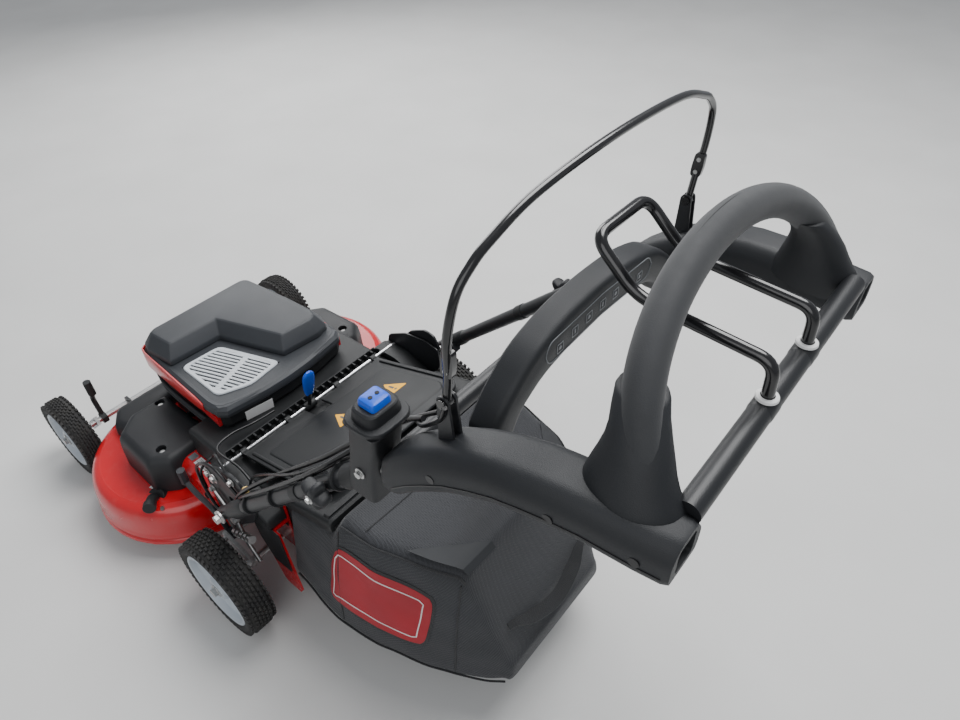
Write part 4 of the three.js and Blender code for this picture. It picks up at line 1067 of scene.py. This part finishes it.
# ------------------------------------------------------------------ lower handle
FOLD, TUBE_BEND, TUBE_END, TUBE_R = (290, 38, 330), (250, 410, 678), (250, 532, 792), 13
REAR_PLATE = [(-104, 150.3), (-92, 112), (-58, 112), (-40, 180), (30, 246), (62, 312), (58, 352), (20, 360),
              (-40, 352), (-96, 322), (-112, 262)]
REAR_PLATE_HOLES = [(-30, 262, 12), (-82, 286, 8), (-70, 222, 9), (-75, 132, 7.3)]


def on_tube(k, side=1):
    """Point a share k up the lower run of a handle tube."""
    p = [a + (b - a) * k for a, b in zip(FOLD, TUBE_BEND)]
    return (side * p[0], p[1], p[2])


def flip(p, s):
    return (s * p[0], p[1], p[2])


def make_lower_handle():
    for side, s in SIDES:
        path = tube_path([on_tube(-0.045, s), flip(TUBE_BEND, s), flip(TUBE_END, s)], 60)
        tube_piece(f"lower_tube_{side}_skin", path, TUBE_R, "steel_black", "lower_handle",
                   [f"lower_tube_{side}"], 28, slot="black_steel")

        def collar(bm):
            sweep(bm, [on_tube(0.05, s), on_tube(0.075, s), on_tube(0.17, s), on_tube(0.19, s)],
                  lambda t: 13.4 if t < 0.02 or t > 0.98 else 15.6, 28)
            sweep(bm, [on_tube(0.60, s), on_tube(0.64, s)], 14.6, 28)
        loose(f"tube_collar_{side}", collar, "black", "lower_handle", bevel=0.8)

        low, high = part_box(f"handle_knob_{side}")
        y, z = ((low.y + high.y) / 2 - AXLE_Y) / MM, (low.z + high.z) / 2 / MM
        x0 = (high.x if s > 0 else low.x) / MM - s * 24

        def knob(bm):
            lobes = [(TAU * i / 70, 18.5 + 5.2 * math.cos(5 * TAU * i / 70)) for i in range(70)]
            layers = ((0, 0.80), (1.5, 0.9), (5, 1.0), (14, 1.0), (18, 0.95), (21, 0.82), (22.5, 0.62),
                      (23, 0.3))
            skin(bm, [[at(x0 + s * d, y + r * k * math.cos(a), z + r * k * math.sin(a)) for a, r in lobes]
                      for d, k in layers])
            cylinder(bm, at(x0 - s * 30, y, z), at(x0 + s * 2, y, z), 4, 16)
        loose(f"star_knob_{side}", knob, "cover", f"knob_{side}", [f"handle_knob_{side}"],
              slot="black_plastic", sharp=50)
        loose(f"knob_cap_{side}", lambda bm: bolt(bm, (x0 + s * 22, y, z), (s, 0, 0), 4.6, 5), "steel",
              f"knob_{side}", slot="steel")

        # fold bolt and ribbed rubber boot at the foot of the tube
        def fold_bolt(bm):
            bolt(bm, (s * 304.5, FOLD[1], FOLD[2]), (s, 0, 0), 9, 12)
        loose(f"fold_nut_{side}", fold_bolt, "steel", "chassis", slot="steel", bevel=0.6)

        def boot(bm):
            a = tube_path([(s * 271, 30, 300), (s * 271, 62, 330), (s * 271, 92, 366)], 20)
            sweep(bm, a, lambda t: 10 + 2.2 * math.cos(t * 46), 18)
        loose(f"cable_boot_{side}", boot, "cover", "lower_handle", sharp=60)

        plate_x(f"rear_plate_{side}", rounded(REAR_PLATE, 8, 3), *sorted((s * 246.3, s * 250.3)),
                "steel_black", "chassis", [f"rear_bracket_{side}"], REAR_PLATE_HOLES, bevel=0.6,
                slot="black_steel")
        tube_piece(f"fold_stud_{side}", [(s * 248, FOLD[1], FOLD[2]), (s * 280, FOLD[1], FOLD[2]),
                                         (s * 313, FOLD[1], FOLD[2])], 5, "steel", "chassis", sides=18,
                   slot="steel")

        def latch(bm):
            outline = [(-64, 322), (-30, 360), (16, 384), (42, 380), (58, 350), (40, 330), (8, 320)]
            skin(bm, [profile(rounded(outline, 8, 4), s * x) for x in (252.5, 257.5)])
        loose(f"fold_latch_{side}", latch, "steel_black", "chassis", bevel=0.8, slot="black_steel")

        def latch_bolts(bm):
            for yy, zz, r in ((-90, 304, 6.5), (-52, 322, 7), (-98, 252, 6), (10, 300, 6), (20, 366, 6)):
                bolt(bm, (s * (258 if yy in (-52, 20) else 250.6), yy, zz), (s, 0, 0), r, 8)
        loose(f"bracket_bolts_{side}", latch_bolts, "steel", "chassis", slot="steel", bevel=0.5)

        def links(bm):
            sweep(bm, tube_path([(s * 258, -30, 214), (s * 262, -8, 168), (s * 268, 34, 142)], 14), 4.6, 16)
            sweep(bm, tube_path([(s * 256, -80, 262), (s * 258, -30, 214)], 4), 3.4, 12)
            cylinder(bm, at(s * 254, -30, 214), at(s * 266, -30, 214), 8, 20)
            for k in range(10):
                y, z = 24 - k * 7.2, 200 - k * 3.2
                cylinder(bm, at(s * 264, y, z), at(s * 264, y - 3.5, z - 1.6), 8.5 - (k % 2) * 1.6, 18)
        loose(f"lift_links_{side}", links, "steel", "chassis", slot="steel")
    loose("cable_fitting", lambda bm: (cylinder(bm, at(262, 66, 378), at(262, 78, 394), 7, 6),
                                       cylinder(bm, at(262, 78, 394), at(262, 84, 402), 4.5, 16)), "brass",
          "lower_handle", bevel=0.5)
    span = TUBE_BEND[0] - TUBE_R
    tube_piece("cross_tube_skin", [(-span, 452, 717.3), (0, 452, 717.3), (span, 452, 717.3)], 12,
               "steel_black", "lower_handle", ["handle_cross_tube"], 26, slot="black_steel")

    cables = [((272, 62, 366), (282, 112, 424), (274, 214, 520), (258, 318, 622), (228, 392, 700),
               (206, 440, 752), (212, 488, 792)),
              ((264, 66, 362), (268, 116, 416), (262, 220, 516), (246, 326, 622), (214, 398, 706),
               (192, 446, 748), (200, 500, 800)),
              ((273, 42, 340), (270, 84, 402), (250, 190, 508), (236, 300, 612), (222, 372, 684),
               (224, 424, 716), (238, 436, 724)),
              ((238, 36, 342), (238, 64, 392), (250, 140, 470), (256, 250, 560), (240, 350, 648),
               (232, 410, 700), (236, 430, 716))]
    for k, path in enumerate(cables):
        node = [f"control_cable_{k + 1}"] if k < 2 else []
        tube_piece(f"cable_run_{k + 1}", smooth_path(path, 7), (3.4, 3.0, 4.2, 2.6)[k], "gloss_black",
                   "lower_handle", node, 12, slot="black_plastic")
    loops = [((262, 34, 340), (262, -30, 374), (266, -88, 340), (262, -112, 270), (262, -92, 212),
              (262, -60, 196)),
             ((256, 20, 356), (248, -30, 388), (232, -72, 352), (230, -104, 318), (252, -122, 286),
              (256, -118, 240)),
             ((228, 38, 338), (216, -30, 330), (212, -110, 320), (170, -128, 316), (120, -122, 312),
              (70, -118, 310))]
    for k, path in enumerate(loops):
        tube_piece(f"cable_loop_{k + 1}", smooth_path(path, 8), (3.2, 2.8, 2.4)[k], "gloss_black",
                   "chassis", sides=12)

    def ties(bm):
        for k in (0.22, 0.44, 0.70, 0.86):
            ends = [Vector(on_tube(share)) + Vector((-6, 4, 5)) for share in (k, k + 0.012)]
            sweep(bm, ends, 23, section=[(u, v * 0.78) for u, v in circle(24)])
    loose("cable_ties", ties, "black", "lower_handle", bevel=0.5)


def make_key_housing():
    cx = 250

    def ring(z, hx, y0, y1, r=9):
        return plan(rounded([(cx - hx, y0), (cx + hx, y0), (cx + hx, y1), (cx - hx, y1)], r, 5), z)

    def post(bm):
        skin(bm, [ring(671, 20, 410, 452), ring(673, 23, 408, 455), ring(706, 24, 414, 459),
                  ring(742, 23.5, 421, 464), ring(790, 24, 430, 474), ring(800, 27, 431, 479),
                  ring(806, 31, 430, 484)])
        rim = [ring(805, 29, 432, 483, 20), ring(806, 32, 429, 486, 23), ring(811, 33, 428, 487, 24),
               ring(813, 32, 429, 486, 23), ring(813.4, 30, 432, 483, 21)]
        skin(bm, rim)
        skin(bm, [ring(812, 25.5, 438, 477, 14), ring(822, 25, 439, 476, 14), ring(826.5, 23.5, 440, 475, 12),
                  ring(828.2, 20.5, 442, 473, 10)])
    loose("key_post", post, "cover", "lower_handle", ["key_housing"], slot="black_plastic", bevel=0.6,
          sharp=40)

    def button(bm):
        skin(bm, [ring(z, h, 457 - w, 457 + w, 5)
                  for z, h, w in ((824, 14.6, 13), (834, 14.2, 12.6), (836.6, 13, 11.4), (837.8, 10.6, 9))])
    loose("blue_button", button, "blue", "start_button", ["start_button"], slot="blue_plastic")
    loose("button_mark", lambda bm: [cylinder(bm, at(cx + x, 457, 837.2), at(cx + x, 457, 838.4), 2.6, 16)
                                     for x in (-5, 5)], "gloss_black", "start_button")

    def screws(bm):
        bolt(bm, (cx + 24, 440, 722), (1, 0, 0), 5, 6)
        bolt(bm, (cx + 8, 466, 735), (0, 1, 0.1), 5, 5)
    loose("key_screws", screws, "steel", "lower_handle", slot="steel", bevel=0.4)
    loose("key_clamp", lambda bm: sweep(bm, [on_tube(0.93), on_tube(1.0)], 17.5, 28), "black",
          "lower_handle", bevel=1.5)


# ------------------------------------------------------------------ upper handle
ARM = [(487, 746, 220, 281, 34), (494, 757, 218, 282, 43), (516, 779, 217, 281, 45), (540, 798, 216, 280, 46),
       (570, 818, 212, 278, 46), (600, 832, 208, 276, 46), (630, 842, 204, 273, 46), (660, 847, 200, 270, 46),
       (690, 849, 197, 266, 46), (720, 849, 196, 262, 46), (770, 845, 196, 256, 48), (794, 844, 196, 252, 50),
       (800, 844, 198, 250, 46)]
CROSSBAR_Y, CROSSBAR_Z, CROSSBAR_R = 787, 866, 12.5
GRIP_LOW, GRIP_HIGH = (210, 757, 872), (690, 1004)


def arm_path():
    """Centre line, widths and heights of the arm, with the direction it runs at each station."""
    result = []
    for i, (y, z, x0, x1, h) in enumerate(ARM):
        a, b = ARM[max(0, i - 1)], ARM[min(len(ARM) - 1, i + 1)]
        run = Vector((0, b[0] - a[0], b[1] - a[1])).normalized()
        result.append((Vector((0, y, z)), run, x0, x1, h))
    return result


def make_arms():
    stations = arm_path()
    for side, s in SIDES:
        def shell(bm):
            rings = []
            for centre, run, x0, x1, h in stations:
                up = Vector((0, -run.z, run.y))
                section = [(x0 + 3, -h / 2), (x1 - 3, -h / 2), (x1, -h / 2 + 8), (x1, h / 2 - 16),
                           (x1 - 12, h / 2), (x0 + 12, h / 2), (x0, h / 2 - 16), (x0, -h / 2 + 8)]
                section = rounded(section, [3, 3, 4, 9, 9, 9, 9, 4], 4)
                rings.append([at(s * x, *(centre + up * w).yz) for x, w in section])
            skin(bm, rings)
        arm = loose(f"arm_shell_{side}", shell, "arm", "upper_handle", [f"handle_arm_{side}"],
                    slot="grey_plastic", sharp=28)
        rear_hollow = rounded([(209, 828), (240, 828), (240, 860), (209, 860)], 6, 4)
        bail_slot = rounded([(236, 872), (248, 872), (248, 960), (236, 960)], 3, 3)
        for outline, ends in ((rear_hollow, (779, 830)), (bail_slot, (530, 569))):
            cut_by(arm, lambda bm: skin(bm, [front(outline, y, s) for y in ends]))

        def base(bm):
            rings = []
            for t, l, w in ((-0.03, 50, 33), (0.0, 48, 32), (0.012, 45, 30.5), (0.03, 41, 28.5),
                            (0.055, 36, 26.5), (0.085, 31.5, 24.8), (0.115, 28, 23.2), (0.15, 25.5, 22),
                            (0.18, 24, 21.2), (0.186, 22.5, 20.4), (0.187, 20, 19)):
                x, y, z = grip_point(max(t, 0.0004))
                z += min(t, 0) * 700
                y -= max(0, 0.1 - t) * 150
                x += max(0, 0.06 - t) * 60
                rings.append([at(s * (x + c * w), y + k * l, z - 4 - k * l * 0.1) for c, k in circle(40)])
            skin(bm, rings)
        loose(f"grip_boss_{side}", base, "arm", "upper_handle", slot="grey_plastic", sharp=45)

        def seam(bm):
            path = []
            for centre, run, _, x1, h in stations[1:-1]:
                up = Vector((0, -run.z, run.y))
                p = centre + up * (-h / 2 + 11)
                path.append((s * (x1 + 0.1), p.y, p.z))
            sweep(bm, path, 1.0, section=strap_section(1.4, 1.6))
        loose(f"arm_seam_{side}", seam, "gloss_black", "upper_handle")

        def socket(bm):
            a, b = Vector(flip((250, 478, 742), s)), Vector(flip((250, 494, 757), s))
            sweep(bm, [tuple(a), tuple(b)], 18, 28)
        loose(f"tube_socket_{side}", socket, "black", "upper_handle", bevel=1.5)

        def screws(bm):
            for y, z, x in ((560, 806, 279), (690, 840, 266.5), (770, 838, 256.5)):
                cylinder(bm, at(s * (x - 4), y, z), at(s * (x + 0.3), y, z), 5.5, 20)
        loose(f"arm_screws_{side}", screws, "gloss_black", "upper_handle", bevel=0.4)


def grip_point(t):
    """Centre line of the arched grip, t from 0 (left) to 1 (right)."""
    a = math.pi * t
    rise = max(0.0, math.sin(a)) ** 0.9
    return (GRIP_LOW[0] * math.cos(a), GRIP_LOW[1] + (GRIP_HIGH[0] - GRIP_LOW[1]) * rise, GRIP_LOW[2]
            + (GRIP_HIGH[1] - GRIP_LOW[2]) * rise)


def make_grip():
    def tube(bm):
        path = [grip_point(0.5 - 0.5 * math.cos(math.pi * i / 110)) for i in range(111)]
        sweep(bm, path, 18.2, 32)
    loose("grip_foam", tube, "foam", "upper_handle", ["loop_grip"], slot="foam", sharp=60)

    def parting(bm):
        path = []
        for i in range(8, 103):
            p = Vector(grip_point(0.5 - 0.5 * math.cos(math.pi * i / 110)))
            middle = Vector((0, 720, 890))
            out = (p - middle).normalized()
            path.append(tuple(p + out * 18.1))
        sweep(bm, path, 0.55, 6)
    loose("grip_parting_line", parting, "black", "upper_handle")
    end = 205
    tube_piece("rear_crossbar_skin", [(-end + 20 * i, CROSSBAR_Y, CROSSBAR_Z) for i in range(21)][:-1]
               + [(end, CROSSBAR_Y, CROSSBAR_Z)], CROSSBAR_R, "steel_black", "upper_handle",
               ["rear_crossbar"], 30, slot="black_steel")


PANEL = [(0, 897), (70, 893), (132, 876), (176, 842), (199, 813), (199, 776), (168, 781), (150, 812),
         (112, 834), (60, 844), (0, 847)]


def make_panel():
    outline = mirrored(PANEL)[::-1]
    radius = [6 if abs(x) > 190 else 26 for x, z in outline]

    def panel(bm):
        rings = []
        for y, d in ((567, 9), (565.5, 4), (562, 1), (557, 0), (538, 0), (532, 1), (529, 4), (527.5, 9)):
            rings.append([at(x, y + 10, z - 5) for x, z in rounded(inset(outline, d), radius, 6)])
        skin(bm, rings)
    loose("panel_shell", panel, "arm", "upper_handle", ["front_panel"], slot="grey_plastic", sharp=34)

    def icons(bm):
        for k in range(7):
            x = -84 + k * 28
            z = 863 - (x / 100) ** 2 * 12
            for dx, dz, w, h in ((0, 6, 11, 1.0), (0, -6, 11, 1.0), (-5.5, 0, 1.0, 11), (5.5, 0, 1.0, 11)):
                box_in(bm, (x + dx, 577.2, z + dz), (w, 0.8, h))
            if k % 2:
                box_in(bm, (x, 577.2, z), (2.6, 0.8, 6))
            else:
                cylinder(bm, at(x, 576.8, z), at(x, 577.6, z), 2.6, 14)
    loose("panel_icons", icons, "label_grey", "upper_handle")

    def frame_line(bm):
        path = [(-112, 577.2, 859), (-104, 577.2, 873), (0, 577.2, 879), (104, 577.2, 873),
                (112, 577.2, 859), (104, 577.2, 843), (0, 577.2, 849), (-104, 577.2, 843),
                (-112, 577.2, 859)]
        sweep(bm, tube_path(path, 8), 0.7, 6)
    loose("panel_outline", frame_line, "label_grey", "upper_handle")


def make_traction_bar():
    z = CROSSBAR_Z + CROSSBAR_R + 0.4
    path = [(50, CROSSBAR_Y, z), (50, 785, 921), (50, 640, 932), (50, 588, 980), (-50, 588, 980),
            (-50, 640, 932), (-50, 785, 921), (-50, CROSSBAR_Y, z)]
    tube_piece("traction_bar_skin", tube_path(path, [0, 18, 20, 20, 20, 20, 18, 0], 4), 6.5, "gloss_wire",
               "traction_bar", ["traction_bar"], 20, slot="black_steel")

    def washers(bm):
        for x in (50, -50):
            turned(bm, [(0, 7.2), (0, 11.5), (2.4, 11.0), (3.4, 9.0), (3.4, 7.2)],
                   (x, CROSSBAR_Y, z + 0.8), (0, 0, 1), 28)
    loose("traction_washers", washers, "label_white", "traction_bar")

    def saddles(bm):
        for x in (50, -50):
            sweep(bm, [(x - 13, CROSSBAR_Y, CROSSBAR_Z), (x - 9, CROSSBAR_Y, CROSSBAR_Z),
                       (x + 9, CROSSBAR_Y, CROSSBAR_Z), (x + 13, CROSSBAR_Y, CROSSBAR_Z)],
                  lambda t: 12.6 if t < 0.05 or t > 0.95 else 13.2, 30)
    loose("traction_saddles", saddles, "steel_black", "upper_handle", bevel=0.4)


def make_bail_lugs():
    outline = rounded([(546, 818), (568, 828), (563, 888), (559, 892), (552, 892), (548, 888)], 4, 3)
    for side, s in SIDES:
        for k, x0 in enumerate((234.5, 245.5)):
            plate_x(f"bail_lug_{side}_{k + 1}", outline, *sorted((s * x0, s * (x0 + 3))), "steel_black",
                    "upper_handle", [], [(556, 884, 6.2)], bevel=0.4, slot="black_steel")
    route = [(252, 562, 886), (249, 552, 862), (236, 528, 830), (226, 500, 800), (206, 470, 772)]
    tube_piece("bail_cable", smooth_path(route, 8), 2.6, "gloss_black", "upper_handle", sides=12)


def make_bail():
    x, y, z = 242, 556, 884
    half = [(x, 0), (x, 20), (x, 34), (x + 3, 78), (x - 6, 122), (x - 24, 143), (x - 50, 157), (128, 175),
            (0, 182)]
    lean = 0.1
    points = half + [(-a, h) for a, h in reversed(half[:-1])]
    wire = smooth_path([(a, y + lean * h, z + h) for a, h in points], 8)

    def shape(bm):
        sweep(bm, wire, 4.6, 16)
        for s in (1, -1):
            cylinder(bm, at(s * (x - 9), y, z), at(s * (x + 9), y, z), 6, 20)
            outline = [(y - 3, z + 34), (y + 10, z + 34), (y + 12.5, z + 48), (y + 13, z + 66),
                       (y, z + 66), (y - 2.5, z + 48)]
            skin(bm, [profile(rounded(outline, 4, 3), s * x + dx) for dx in (-3.2, 3.2)])
    loose("bail_wire", shape, "gloss_wire", "bail", ["bail"], slot="black_steel", sharp=40)

    def pins(bm):
        for s in (1, -1):
            for h in (41, 58):
                cylinder(bm, at(s * x - 4.6, y + lean * h, z + h), at(s * x + 4.6, y + lean * h, z + h),
                         2.8, 14)
    loose("bail_pins", pins, "steel", "bail", slot="steel")


# ------------------------------------------------------------------ CAD nodes that stay
KEPT = {
    "red": ("deck_shell", "red_strip_left", "red_strip_right"),
    "black": ("battery_tub", "battery_pack", "front_height_lever", "bag_frame"),
    "grey": ("housing_top", "rear_height_lever"),
    "steel_black": ("front_bracket_left", "front_bracket_right"),
    "steel": ("spindle_left", "spindle_right", "blade_left", "blade_right", "pulley_left", "pulley_right",
              "motor_rotor", "motor", "controller", "front_axle", "rear_axle"),
    "cover": ("drive_belt",),
    "chrome": ("door_rod",),
}
SOFT_EDGE = {"deck_shell": 1.2, "battery_tub": 3.0, "red_strip_left": 1.0, "red_strip_right": 1.0,
             "rear_height_lever": 1.0, "front_height_lever": 1.0, "bag_frame": 2.0}


def finish_cad_nodes():
    for material, names in KEPT.items():
        for name in names:
            node = NODES[name]
            for slot in node.material_slots:
                slot.material = MATERIALS[material]
            if name in SOFT_EDGE:
                modifier = node.modifiers.new("edge", "BEVEL")
                modifier.width = SOFT_EDGE[name] * MM
                modifier.segments = 2
                modifier.limit_method = "ANGLE"
                modifier.angle_limit = math.radians(35)


make_materials()
make_camera()
make_studio()
finish_cad_nodes()
make_deck()
make_aprons()
make_covers()
make_housing()
for wheel_side, wheel_sign in SIDES:
    for end in ("front", "rear"):
        make_wheel(f"{end}_wheel_{wheel_side}", f"{end}_tyre_{wheel_side}", f"{end}_rim_{wheel_side}",
                   wheel_sign)
make_door()
make_bag()
make_lower_handle()
make_key_housing()
make_arms()
make_grip()
make_panel()
make_traction_bar()
make_bail_lugs()
make_bail()
